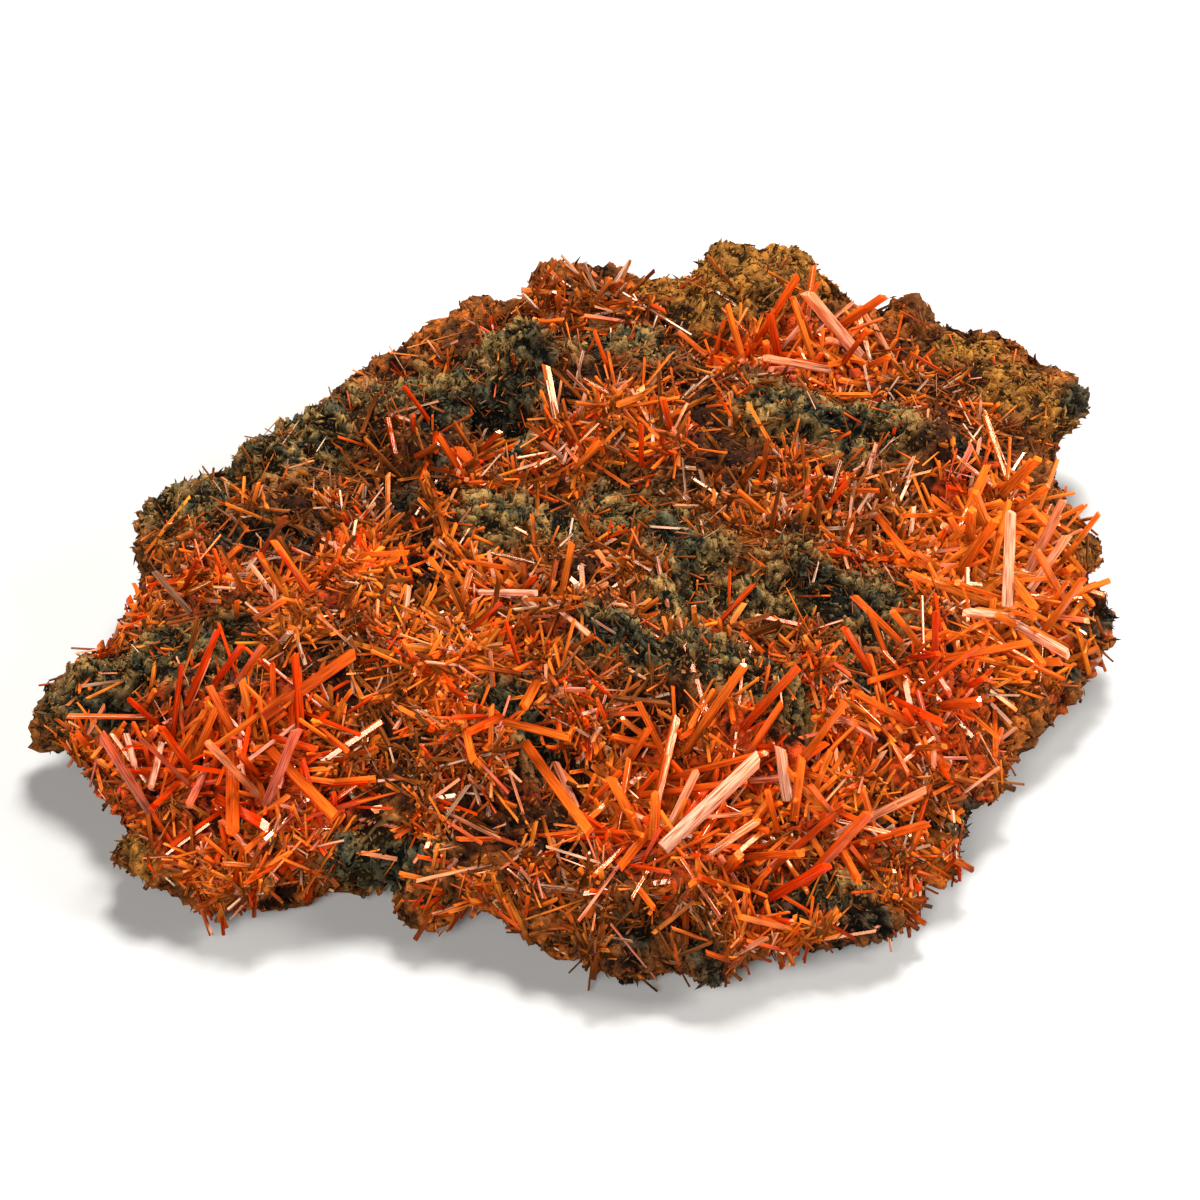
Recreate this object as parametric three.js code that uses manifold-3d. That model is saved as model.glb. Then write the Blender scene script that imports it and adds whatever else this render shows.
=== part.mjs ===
// Crocoite on gossan: a palm-sized plate of brown, black-crusted matrix whose upper side is grown over with
// thickets of square orange-red prisms. Millimetres, +Z up, origin on the standing face under the plate's middle.
import * as THREE from "three";
import { ImprovedNoise } from "three/addons/math/ImprovedNoise.js";
import { mergeVertices } from "three/addons/utils/BufferGeometryUtils.js";
import Module from "manifold-3d";

const wasm = await Module();
wasm.setup();

// ---- driving dimensions ----------------------------------------------------------------------------------
const PLATEAU = 16.5; // height of the broad upper side above the standing face
const SHOULDER_POWER = 4; // how late the upper side rolls over towards the rim
const RIM_STEP = 3.3; // spacing of the facets along the rim
const RING_STEP = 3.3; // spacing of the rings of facets on the upper side
const LUMP = { size: 9, height: 3.2 }; // broad lumps of the crusted rock
const KNOB = { size: 4.4, height: 2.3 }; // small knobs on the lumps
const LEDGE = { step: 3, depth: 0.4 }; // ledges along the slopes, a step of height apart
const WALL_ROUGHNESS = 0.12; // bulges of the wall under the rim, over its distance from the middle
const WALL_BULGE = 7; // size of those bulges
const PIT = { size: 11, depth: 3.5 }; // hollows in the underside, inside the ring it stands on
const CRUST = 1.5; // intergrown crocoite at the foot of a thicket
const GAP = 0.3; // clearance between a thicket and the rock it grew on
const CRUST_TAPER = 0.3; // share of a thicket's oval over which its crust thins out
const WAVER = { size: 1.8, share: 0.1 }; // how the edge of an oval wavers
const STEEPEST = 0.4; // upward part of the normal below which a slope counts as no steeper
const FLATTENING = 0.85; // a prism's narrow diagonal over its wide one
const SLANT = 0.6; // fall of a prism's end over its width
const LEAN = [20, 72]; // how far prisms lean over, in degrees
const AXIS_SAMPLES = 6; // points at which a prism's way is tested
const APART = 0.62; // least distance between two prisms of a thicket, over the sum of their widths
const CLEAR = 0.75; // the same between prisms of different thickets, before the gap
const CLIMB = 0.12; // how much higher above the rock a prism has to be at each of those points
const NEARBY = 1.1; // share of another thicket's oval inside which a prism passes high over its crust
const PLANTED = 0.82; // share of an oval in which prisms stand
const TRIES = 40; // places tried for each prism
const SEED = 41; // of the prisms' random places

// The rim of the plate, clockwise seen from above, from the western point: [x, y, height].
const RIM = [
  [-55.7, -18.1, 7], [-53, -12.8, 9], [-48.4, -9.6, 10], [-47, -3.5, 9], [-46.6, 2, 10],
  [-46.6, 10.2, 12], [-41.9, 14.6, 12], [-35.2, 17.7, 13], [-30.3, 24.7, 14], [-22.4, 31.3, 15],
  [-17.2, 37, 15], [-11.8, 41, 15], [-7.6, 43.9, 15], [-6.3, 46.8, 16], [2, 46.5, 16],
  [7.7, 44.4, 16], [12.8, 46.3, 16], [16.8, 49.8, 17], [22.5, 50, 17], [27.4, 46.3, 16],
  [31.4, 41.2, 15], [36.7, 41.6, 15], [40.4, 37.8, 14], [47, 37.7, 13], [51.8, 33.7, 12],
  [55.4, 29, 11], [51.9, 21.4, 10], [51.6, 13.4, 9], [54, 8.9, 8], [52.9, 2, 7],
  [55.7, -1.8, 6], [52.7, -6, 6], [49.4, -12.7, 5], [44, -19.6, 5], [41, -25.7, 5],
  [37.2, -30.7, 5], [37, -34.4, 4], [32, -37.1, 4], [29.6, -43.7, 4], [25.7, -44.3, 4],
  [20.5, -44.9, 4], [15.2, -46.9, 4], [12, -50, 3.5], [10, -48.6, 4], [5.3, -48.6, 4],
  [-0.3, -47.4, 4], [-4, -44.8, 5], [-8, -41.8, 5], [-13.6, -41.6, 4], [-17.2, -41.9, 4],
  [-19.6, -37.6, 6], [-24.2, -38.3, 6], [-30, -38.8, 6], [-32, -41, 5], [-38.5, -38.7, 5],
  [-44.7, -35.4, 6], [-45.4, -31, 6], [-50.2, -22.6, 7],
];

// Ridges (rise above 0) and hollows (below 0) of the upper side: each follows a line and fades over its spread
const RELIEF = [
  { name: "western lip", from: [-49, -15], to: [-35, -13], rise: 2, spread: 3.5 },
  { name: "western pocket", from: [-45, -24], to: [-27, -31], rise: -4.5, spread: 5 },
  { name: "long ridge", from: [-33, 14], to: [-7, 25], rise: 4.5, spread: 4.5 },
  { name: "long ridge's shoulder", from: [-7, 25], to: [7, 28], rise: 3.5, spread: 5 },
  { name: "back gutter", from: [-20, 33], to: [-6, 38], rise: -1.5, spread: 3.5 },
  { name: "crest", from: [-3, 16], to: [9, 16], rise: 2.5, spread: 6 },
  { name: "red hollow", from: [-11, 12], to: [-9, 14], rise: -3, spread: 4 },
  { name: "western valley", from: [-22, 6], to: [-32, -2], rise: -2.5, spread: 7 },
  { name: "middle valley", from: [-12, -4], to: [-14, -12], rise: -2.5, spread: 6 },
  { name: "black knob", from: [-16, 5], to: [-15, 7], rise: 3, spread: 2.6 },
  { name: "front ridge", from: [1, -17], to: [20, -23], rise: 4, spread: 4 },
  { name: "front pocket", from: [-2, -32], to: [24, -34], rise: -4, spread: 5 },
  { name: "table", from: [8, -4], to: [26, -8], rise: 2, spread: 6 },
  { name: "eastern ridge", from: [19, 19], to: [40, 13], rise: 4, spread: 4 },
  { name: "north-eastern hollow", from: [16, 33], to: [31, 31], rise: -3.5, spread: 5 },
  { name: "far hump", from: [18, 45], to: [26, 42], rise: 1.5, spread: 3.5 },
  { name: "ochre mound", from: [41, 31], to: [49, 26], rise: 2, spread: 5 },
  { name: "eastern hollow", from: [44, 6], to: [42, -10], rise: -2, spread: 6 },
  { name: "south-western lip", from: [-25, -35], to: [-13, -38], rise: 2, spread: 3 },
  { name: "south-eastern mound", from: [33, -30], to: [36, -25], rise: 2, spread: 4 },
  { name: "southern lump", from: [2, -43], to: [14, -43], rise: 1.5, spread: 3.5 },
];

// Where the crocoite grew: an oval of the upper side each, with its stand-out prisms as
// [x, y, bearing from +X, rise above the level, long, wide], and how many others fill it up, of which sizes.
const THICKETS = [
  {
    name: "crystals_west_pocket", at: [-35, -27.5], oval: [14, 9], turn: -20,
    main: [
      [-30.5, -27, -55, 5, 13, 1.6], [-31, -24, 25, 25, 11, 1.6], [-34, -27, -85, 5, 12, 1.6],
      [-35, -32, -45, 12, 7.5, 1.4], [-27.5, -25.5, 95, 40, 7.5, 0.9], [-30, -26, -50, 28, 8, 0.9],
      [-36.5, -27.5, -95, 20, 9, 0.9], [-41.5, -23, -90, 15, 8.5, 0.9], [-45, -22, -75, 15, 6.5, 0.9],
      [-39, -28, -105, 25, 8, 0.9], [-25, -30.5, -15, 20, 6, 0.9],
    ],
    count: 15, long: [6, 10], wide: [0.9, 1.5],
  },
  {
    name: "crystals_west_slope", at: [-32.5, -5.5], oval: [12.5, 10], turn: 0,
    main: [[-32.5, -13, -15, 45, 5, 0.9], [-27, -12, 135, 35, 6.5, 0.8], [-30, -10, 155, 60, 5, 0.9]],
    count: 14, long: [4.5, 8], wide: [0.8, 1.3],
  },
  {
    name: "crystals_middle_slope", at: [-8, -16], oval: [8, 16], turn: 0,
    main: [
      [-5.5, -28.5, -65, 6, 15, 1.5], [-7.5, -27.5, -40, 20, 9, 0.9], [-12, -23.5, -80, 8, 9, 1.1],
      [-8, -27, -120, 25, 6.5, 0.9], [-4.5, -23.5, -105, 12, 5, 1.1], [-10.5, -7, -25, 20, 7, 0.9],
      [-12.5, -8, 160, 55, 5.5, 0.8], [-12, -12, 145, 65, 4.5, 0.8],
    ],
    count: 14, long: [4.5, 8], wide: [0.8, 1.3],
  },
  {
    name: "crystals_front_pocket", at: [14, -35], oval: [13, 9], turn: -4,
    main: [
      [7.5, -40, 40, 20, 13, 1.6], [5.5, -38, 115, 12, 7.5, 1.2], [8, -37.5, 60, 30, 6.5, 1],
      [6.5, -39, 85, 40, 5, 1.1], [5.5, -31.5, -10, 20, 11, 0.9], [7, -30, -10, 28, 12, 0.8],
      [18.5, -36, 120, 60, 4.5, 0.9], [12, -40, 20, 30, 6, 0.9], [20, -35.5, 80, 40, 6.5, 1.1],
      [19.5, -33, 105, 55, 5.5, 1.1], [22, -32.5, 50, 60, 5, 0.9], [24, -35, 180, 60, 5.5, 0.9],
    ],
    count: 14, long: [6, 11], wide: [1, 1.7],
  },
  {
    name: "crystals_south_east", at: [33, -21], oval: [7.5, 9], turn: 20,
    main: [[33, -25, -175, 40, 9.5, 0.9], [30, -21, -45, 10, 7, 1.2], [35.5, -16, 5, 10, 9, 1.1]],
    count: 12, long: [6, 9], wide: [0.9, 1.5],
  },
  {
    name: "crystals_east_slope", at: [44, 0], oval: [7.5, 12.5], turn: 4,
    main: [
      [43, -5.5, 85, 30, 11, 1.2], [43.5, -6.5, -140, 35, 9, 1.1], [43.5, -7, -50, 8, 8, 1.1],
      [39, 5, 60, 35, 7, 1.2], [49, -4, 165, 60, 7, 1], [43, 1, -75, 12, 10, 1.1], [44, -8, -75, 12, 7, 0.9],
    ],
    count: 13, long: [7, 11], wide: [1, 1.7],
  },
  {
    name: "crystals_middle", at: [21, 3], oval: [12, 7], turn: -8,
    main: [[30, 2, -75, 15, 10, 1.1], [29, -1.5, 5, 15, 7, 1]],
    count: 11, long: [4, 7], wide: [0.8, 1.2],
  },
  {
    name: "crystals_crest", at: [3, 13], oval: [8.5, 7], turn: 0,
    main: [
      [-3, 15, 105, 45, 6, 0.9], [9, 14, -140, 75, 5, 0.9], [-1, 9, 10, 50, 4.5, 0.8],
      [6, 18, -115, 28, 7, 0.8],
    ],
    count: 11, long: [4, 8], wide: [0.8, 1.2],
  },
  {
    name: "crystals_red_hollow", at: [-15, 12.5], oval: [6, 5], turn: 10,
    main: [[-11, 12, 150, 40, 4.5, 1.8]],
    count: 8, long: [4, 6.5], wide: [0.9, 1.5],
  },
  {
    name: "crystals_north_east_hollow", at: [24, 32], oval: [10, 6], turn: -5,
    main: [[30, 32, 165, 50, 10, 1.5], [28, 33, -120, 40, 5, 0.9], [31, 30, -55, 45, 5, 0.9]],
    count: 11, long: [6, 9], wide: [0.9, 1.5],
  },
  {
    name: "crystals_north_rim", at: [0, 39], oval: [8, 4], turn: -3,
    main: [],
    count: 9, long: [4, 6.5], wide: [0.8, 1.2],
  },
];

const COLOURS = {
  rock: { color: 0x5a4526, roughness: 0.92, metalness: 0 },
  crocoite: { color: 0xe2500f, roughness: 0.25, metalness: 0 },
};

// ---- helpers ---------------------------------------------------------------------------------------------
const noise = new ImprovedNoise();
const radians = THREE.MathUtils.degToRad;

/** A repeatable random number generator. */
function randomFrom(seed) {
  let state = seed;
  return () => {
    state = (state + 0x6d2b79f5) | 0;
    let mixed = Math.imul(state ^ (state >>> 15), 1 | state);
    mixed = (mixed + Math.imul(mixed ^ (mixed >>> 7), 61 | mixed)) ^ mixed;
    return ((mixed ^ (mixed >>> 14)) >>> 0) / 4294967296;
  };
}

/** Distance in plan from (x, y) to the line from one point to another. */
function planDistance(x, y, [ax, ay], [bx, by]) {
  const [dx, dy] = [bx - ax, by - ay];
  const share = THREE.MathUtils.clamp(((x - ax) * dx + (y - ay) * dy) / (dx * dx + dy * dy), 0, 1);
  return Math.hypot(x - ax - share * dx, y - ay - share * dy);
}

/** A closed three.js geometry as a manifold-3d solid. */
function solidOf(geometry) {
  const bare = geometry.clone();
  bare.deleteAttribute("normal");
  bare.deleteAttribute("uv");
  const merged = mergeVertices(bare, 1e-4);
  return new wasm.Manifold(
    new wasm.Mesh({
      numProp: 3,
      vertProperties: new Float32Array(merged.attributes.position.array),
      triVerts: new Uint32Array(merged.index.array),
    }),
  );
}

/** A manifold-3d solid as a three.js geometry. */
function geometryOf(solid) {
  const mesh = solid.getMesh();
  const geometry = new THREE.BufferGeometry();
  geometry.setAttribute("position", new THREE.BufferAttribute(new Float32Array(mesh.vertProperties), 3));
  geometry.setIndex(new THREE.BufferAttribute(new Uint32Array(mesh.triVerts), 1));
  geometry.computeVertexNormals();
  return geometry;
}

// ---- the rock --------------------------------------------------------------------------------------------
const rimCurve = new THREE.CatmullRomCurve3(
  RIM.map((point) => new THREE.Vector3(...point)),
  true,
  "centripetal",
);
const rimCount = Math.round(rimCurve.getLength() / RIM_STEP);

/** Height of the upper side, share being 0 at the middle of the plate and 1 at the rim. */
function upperHeight(x, y, share, rimHeight) {
  let height = rimHeight + (PLATEAU - rimHeight) * (1 - share ** SHOULDER_POWER);
  const inside = 1 - share ** (2 * SHOULDER_POWER);
  for (const { from, to, rise, spread } of RELIEF) {
    height += inside * rise * Math.exp(-((planDistance(x, y, from, to) / spread) ** 2));
  }
  for (const { size, height: bump } of [LUMP, KNOB]) {
    height += (0.35 + 0.65 * inside) * bump * noise.noise(x / size, y / size, size);
  }
  return height + inside * LEDGE.depth * Math.sin((2 * Math.PI * height) / LEDGE.step);
}

/** A ring of the upper side: the rim drawn in to a share of its distance from the middle. */
function upperRing(share) {
  const count = Math.max(6, Math.round(rimCount * share));
  return Array.from({ length: count }, (_, i) => {
    const rim = rimCurve.getPointAt(i / count);
    const [x, y] = [rim.x * share, rim.y * share];
    return new THREE.Vector3(x, y, upperHeight(x, y, share, rim.z));
  });
}

/** A ring of the wall or the underside, at a share of the rim's height above the standing face. */
function lowerRing(share, heightShare, countShare) {
  const count = Math.round(rimCount * countShare);
  return Array.from({ length: count }, (_, i) => {
    const rim = rimCurve.getPointAt(i / count);
    const bulge = noise.noise(rim.x / WALL_BULGE, rim.y / WALL_BULGE, 9 * heightShare);
    const out = heightShare ? Math.min(1, share + WALL_ROUGHNESS * bulge) : share;
    return new THREE.Vector3(rim.x * out, rim.y * out, rim.z * heightShare);
  });
}

/** The pitted middle of the underside, inside the ring that the rock stands on. */
function pittedRing(share, countShare) {
  return lowerRing(share, 0, countShare).map((point) => {
    const sunk = Math.max(0, 0.35 + noise.noise(point.x / PIT.size, point.y / PIT.size, 3));
    return point.setZ(PIT.depth * sunk);
  });
}

/** Zips two rings of different counts into triangles, the first ring lying outside or below the second. */
function zip(faces, outer, inner) {
  let [i, j] = [0, 0];
  while (i < outer.length || j < inner.length) {
    const outerNext = (i + 1) / outer.length <= (j + 1) / inner.length;
    if (j >= inner.length || (i < outer.length && outerNext)) {
      faces.push(outer[i % outer.length], inner[j % inner.length], outer[(i + 1) % outer.length]);
      i += 1;
    } else {
      faces.push(outer[i % outer.length], inner[j % inner.length], inner[(j + 1) % inner.length]);
      j += 1;
    }
  }
}

/** The plate of rock as one closed geometry. */
function rockGeometry() {
  const ringCount = Math.round(50 / RING_STEP);
  const rings = [
    pittedRing(0.12, 0.08),
    pittedRing(0.28, 0.18),
    pittedRing(0.44, 0.28),
    pittedRing(0.58, 0.38),
    lowerRing(0.7, 0, 0.45),
    lowerRing(0.86, 0, 0.6),
    lowerRing(0.92, 0.3, 0.75),
    lowerRing(0.95, 0.56, 0.85),
    lowerRing(0.985, 0.8, 0.95),
  ];
  for (let k = ringCount; k > 0; k--) rings.push(upperRing(k / ringCount));
  const faces = [];
  const [first, last] = [rings[0], rings.at(-1)];
  const middle = (ring) => ring.reduce((sum, p) => sum.add(p), new THREE.Vector3()).divideScalar(ring.length);
  const [bottom, top] = [middle(first), middle(last)];
  first.forEach((point, i) => faces.push(bottom, point, first[(i + 1) % first.length]));
  for (let k = 0; k + 1 < rings.length; k++) zip(faces, rings[k], rings[k + 1]);
  last.forEach((point, i) => faces.push(top, last[(i + 1) % last.length], point));
  return mergeVertices(new THREE.BufferGeometry().setFromPoints(faces), 1e-4);
}

const rock = rockGeometry();
rock.computeVertexNormals();
const rockMesh = new THREE.Mesh(rock, new THREE.MeshStandardMaterial(COLOURS.rock));
rockMesh.name = "matrix";

/** The rock with its upper side raised by an amount that depends on the place, as a solid. */
function raisedRock(amountAt) {
  const raised = rock.clone();
  const { position, normal } = raised.attributes;
  for (let i = 0; i < position.count; i++) {
    const up = normal.getZ(i);
    if (up > 0) {
      const amount = amountAt(position.getX(i), position.getY(i)) / Math.max(STEEPEST, up);
      position.setZ(i, position.getZ(i) + amount);
    }
  }
  return solidOf(raised);
}

const rockWithGap = raisedRock(() => GAP);

/** The rock's upper side under a place in plan, with the way it faces, or undefined beyond the rim. */
const plumb = new THREE.Raycaster();
function groundAt(x, y) {
  plumb.set(new THREE.Vector3(x, y, 3 * PLATEAU), new THREE.Vector3(0, 0, -1));
  return plumb.intersectObject(rockMesh)[0];
}

// ---- the crocoite ----------------------------------------------------------------------------------------
/** How far out of a thicket's oval a place is: 0 at its middle, 1 at its edge. */
function ovalShare({ at, oval, turn }, x, y) {
  const away = new THREE.Vector2(x - at[0], y - at[1]);
  away.rotateAround(new THREE.Vector2(), -radians(turn));
  const waver = WAVER.share * Math.sin(x / WAVER.size) * Math.sin(y / WAVER.size);
  return Math.hypot(away.x / oval[0], away.y / oval[1]) * (1 + waver);
}

/** The crust of intergrown crystals that a thicket stands on, thinning out to nothing at its oval's edge. */
function crustOf(thicket) {
  const thickness = (x, y) => {
    const inside = THREE.MathUtils.clamp((1 - ovalShare(thicket, x, y)) / CRUST_TAPER, 0, 1);
    return inside * (CRUST + GAP);
  };
  return raisedRock(thickness).subtract(rockWithGap);
}

/** One prism from its foot to its tip: four flat sides, and a termination cut across at a slant. */
function prismOf({ foot, tip, wide, spin }) {
  const narrow = wide * FLATTENING;
  const section = new THREE.Shape([
    new THREE.Vector2(wide / 2, 0),
    new THREE.Vector2(0, narrow / 2),
    new THREE.Vector2(-wide / 2, 0),
    new THREE.Vector2(0, -narrow / 2),
  ]);
  const length = foot.distanceTo(tip);
  const prism = new THREE.ExtrudeGeometry(section, { depth: length, bevelEnabled: false });
  const { position } = prism.attributes;
  for (let i = 0; i < position.count; i++) {
    if (position.getZ(i) > 0) position.setZ(i, length - SLANT * (position.getX(i) + wide / 2));
  }
  const along = tip.clone().sub(foot).normalize();
  const turned = new THREE.Quaternion().setFromUnitVectors(new THREE.Vector3(0, 0, 1), along);
  turned.multiply(new THREE.Quaternion().setFromAxisAngle(new THREE.Vector3(0, 0, 1), spin));
  prism.applyMatrix4(new THREE.Matrix4().compose(foot, turned, new THREE.Vector3(1, 1, 1)));
  return solidOf(prism);
}

/** Least distance between two prisms' middle lines. */
function axisDistance(one, other) {
  let least = Infinity;
  for (let i = 0; i <= AXIS_SAMPLES; i++) {
    const point = one.foot.clone().lerp(one.tip, i / AXIS_SAMPLES);
    const line = new THREE.Line3(other.foot, other.tip);
    least = Math.min(least, line.closestPointToPoint(point, true, new THREE.Vector3()).distanceTo(point));
  }
  return least;
}

/** Whether a prism keeps its distance from another: with a gap where they belong to different thickets. */
function keepsOff(prism, other) {
  const [share, gap] = other.thicket === prism.thicket ? [APART, 0] : [CLEAR, 2 * GAP];
  return axisDistance(prism, other) > share * (prism.wide + other.wide) + gap;
}

/** Whether a prism stays inside the plate's outline, off the other thickets and above the rock. */
function hasRoom(prism, clearance) {
  for (let i = 1; i <= AXIS_SAMPLES; i++) {
    const point = prism.foot.clone().lerp(prism.tip, i / AXIS_SAMPLES);
    const ground = groundAt(point.x, point.y);
    if (!ground) return false;
    const height = point.z - ground.point.z;
    if (height < clearance * i) return false;
    const others = THICKETS.filter((other) => other !== prism.thicket);
    const overOther = others.some((other) => ovalShare(other, point.x, point.y) < NEARBY);
    if (overOther && height < CRUST / STEEPEST + prism.wide + 2 * GAP) return false;
  }
  return true;
}

/** A prism of a thicket that stands at a place in plan and points along a direction. */
function prismAt(thicket, [x, y], along, long, wide, spin) {
  const ground = groundAt(x, y);
  if (!ground) return undefined;
  const foot = ground.point.clone().add(new THREE.Vector3(0, 0, GAP + CRUST / 2));
  return { thicket, foot, tip: foot.clone().addScaledVector(along, long), wide, spin };
}

/** A direction from its bearing and its rise above the level, both in radians. */
function direction(bearing, rise) {
  return new THREE.Vector3(1, 0, 0)
    .applyAxisAngle(new THREE.Vector3(0, -1, 0), rise)
    .applyAxisAngle(new THREE.Vector3(0, 0, 1), bearing);
}

/** The stand-out prisms of every thicket. */
function mainPrisms() {
  return THICKETS.flatMap((thicket) =>
    thicket.main
      .map(([x, y, bearing, rise, long, wide], i) =>
        prismAt(thicket, [x, y], direction(radians(bearing), radians(rise)), long, wide, 0.7 * i),
      )
      .filter((prism) => prism && hasRoom(prism, -Infinity)),
  );
}

/** The prisms of every thicket: the stand-out ones, and others that lean every way like dropped straws. */
function growPrisms() {
  const grown = mainPrisms();
  THICKETS.forEach((thicket, index) => {
    const random = randomFrom(SEED + index);
    const between = ([low, high]) => low + (high - low) * random();
    let [made, tries] = [0, 0];
    while (made < thicket.count && tries < TRIES * thicket.count) {
      tries += 1;
      const [around, out] = [2 * Math.PI * random(), PLANTED * Math.sqrt(random())];
      const place = new THREE.Vector2(Math.cos(around), Math.sin(around)).multiplyScalar(out);
      place.multiply(new THREE.Vector2(...thicket.oval));
      place.rotateAround(new THREE.Vector2(), radians(thicket.turn)).add(new THREE.Vector2(...thicket.at));
      const along = direction(2 * Math.PI * random(), Math.PI / 2 - radians(between(LEAN)));
      const [long, wide, spin] = [between(thicket.long), between(thicket.wide), Math.PI * random()];
      const prism = prismAt(thicket, place.toArray(), along, long, wide, spin);
      if (prism && hasRoom(prism, CLIMB) && grown.every((other) => keepsOff(prism, other))) {
        grown.push(prism);
        made += 1;
      }
    }
  });
  return grown;
}

/** A thicket as one solid: its crust and the prisms that grew together on it. */
function thicketSolid(thicket, prisms) {
  const own = prisms.filter((prism) => prism.thicket === thicket);
  const joined = own.reduce((sum, prism) => sum.add(prismOf(prism)), crustOf(thicket));
  const parts = joined.subtract(rockWithGap).decompose();
  return parts.reduce((best, part) => (part.volume() > best.volume() ? part : best));
}

// ---- the specimen ----------------------------------------------------------------------------------------
const specimen = new THREE.Group();
specimen.add(rockMesh);
const prisms = growPrisms();
for (const thicket of THICKETS) {
  const geometry = geometryOf(thicketSolid(thicket, prisms));
  const mesh = new THREE.Mesh(geometry, new THREE.MeshStandardMaterial(COLOURS.crocoite));
  mesh.name = thicket.name;
  specimen.add(mesh);
}

export default specimen;
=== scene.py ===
"""The looks of a crocoite specimen: a gossan plate overgrown with orange-red prisms and finer needles."""

import math
from collections import namedtuple

import bmesh
import bpy
import numpy as np
from bpy.props import FloatProperty, FloatVectorProperty, IntProperty, PointerProperty
from mathutils import Matrix, Quaternion, Vector, noise
from mathutils.bvhtree import BVHTree


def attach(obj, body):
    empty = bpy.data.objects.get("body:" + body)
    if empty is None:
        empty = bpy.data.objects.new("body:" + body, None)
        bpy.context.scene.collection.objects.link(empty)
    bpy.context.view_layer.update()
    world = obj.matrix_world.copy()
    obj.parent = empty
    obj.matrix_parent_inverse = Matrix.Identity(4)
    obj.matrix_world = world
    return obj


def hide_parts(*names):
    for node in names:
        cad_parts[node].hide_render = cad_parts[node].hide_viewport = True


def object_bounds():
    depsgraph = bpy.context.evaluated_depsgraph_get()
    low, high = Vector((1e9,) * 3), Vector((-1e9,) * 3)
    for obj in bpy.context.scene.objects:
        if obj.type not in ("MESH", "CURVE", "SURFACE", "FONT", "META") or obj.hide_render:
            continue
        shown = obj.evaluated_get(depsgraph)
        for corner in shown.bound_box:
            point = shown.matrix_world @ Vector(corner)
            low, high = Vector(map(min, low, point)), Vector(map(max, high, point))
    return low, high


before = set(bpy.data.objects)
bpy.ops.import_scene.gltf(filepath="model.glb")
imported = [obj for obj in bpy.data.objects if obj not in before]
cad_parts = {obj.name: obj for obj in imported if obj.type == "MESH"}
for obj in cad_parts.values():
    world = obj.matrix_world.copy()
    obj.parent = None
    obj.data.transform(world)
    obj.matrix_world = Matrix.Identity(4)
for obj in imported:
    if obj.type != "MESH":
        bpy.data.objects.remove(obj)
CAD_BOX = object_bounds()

bl_info = {
    "name": "Crocoite specimen",
    "version": (1, 0, 0),
    "blender": (4, 5, 0),
    "location": "3D View > Sidebar > Crocoite",
    "description": "Dresses a packed crocoite plate: rock, crumbs, thickets, needles and a plain stage",
    "category": "Object",
}

MM = 0.001  # Blender works in metres, and the sizes below are in millimetres

# ---- sizes shared with the solids, in millimetres and degrees -------------------------------------------
CRUST = 1.5  # intergrown crocoite at the foot of a thicket
GAP = 0.3  # clearance between a thicket and the rock it grew on
STEEPEST = 0.4  # upward part of the normal below which a slope counts as no steeper
FLATTENING = 0.85  # a prism's narrow diagonal over its wide one
SLANT = 0.6  # fall of a prism's end over its width
LEAN = (20, 72)  # how far prisms lean over
AXIS_SAMPLES = 6  # points at which a prism's way is tested
APART = 0.62  # least distance between two prisms of a thicket, over the sum of their widths
CLEAR = 0.75  # the same between prisms of different thickets, before the gap
CLIMB = 0.12  # how much higher above the rock a prism has to be at each of those points
NEARBY = 1.1  # share of another thicket's oval inside which a prism passes high over its crust
PLANTED = 0.82  # share of an oval in which prisms stand
TRIES = 40  # places tried for each prism
SPIN_STEP = 0.7  # how much farther each next stand-out prism is turned about itself, in radians
WAVER_SIZE, WAVER_SHARE = 1.8, 0.1  # how the edge of an oval wavers
SEED = 41  # of the prisms' random places
noise.seed_set(SEED)  # otherwise vector noise follows the clock
NEEDLE_SEED = SEED + 100  # of the needles, apart from the thickets' seeds

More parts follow.
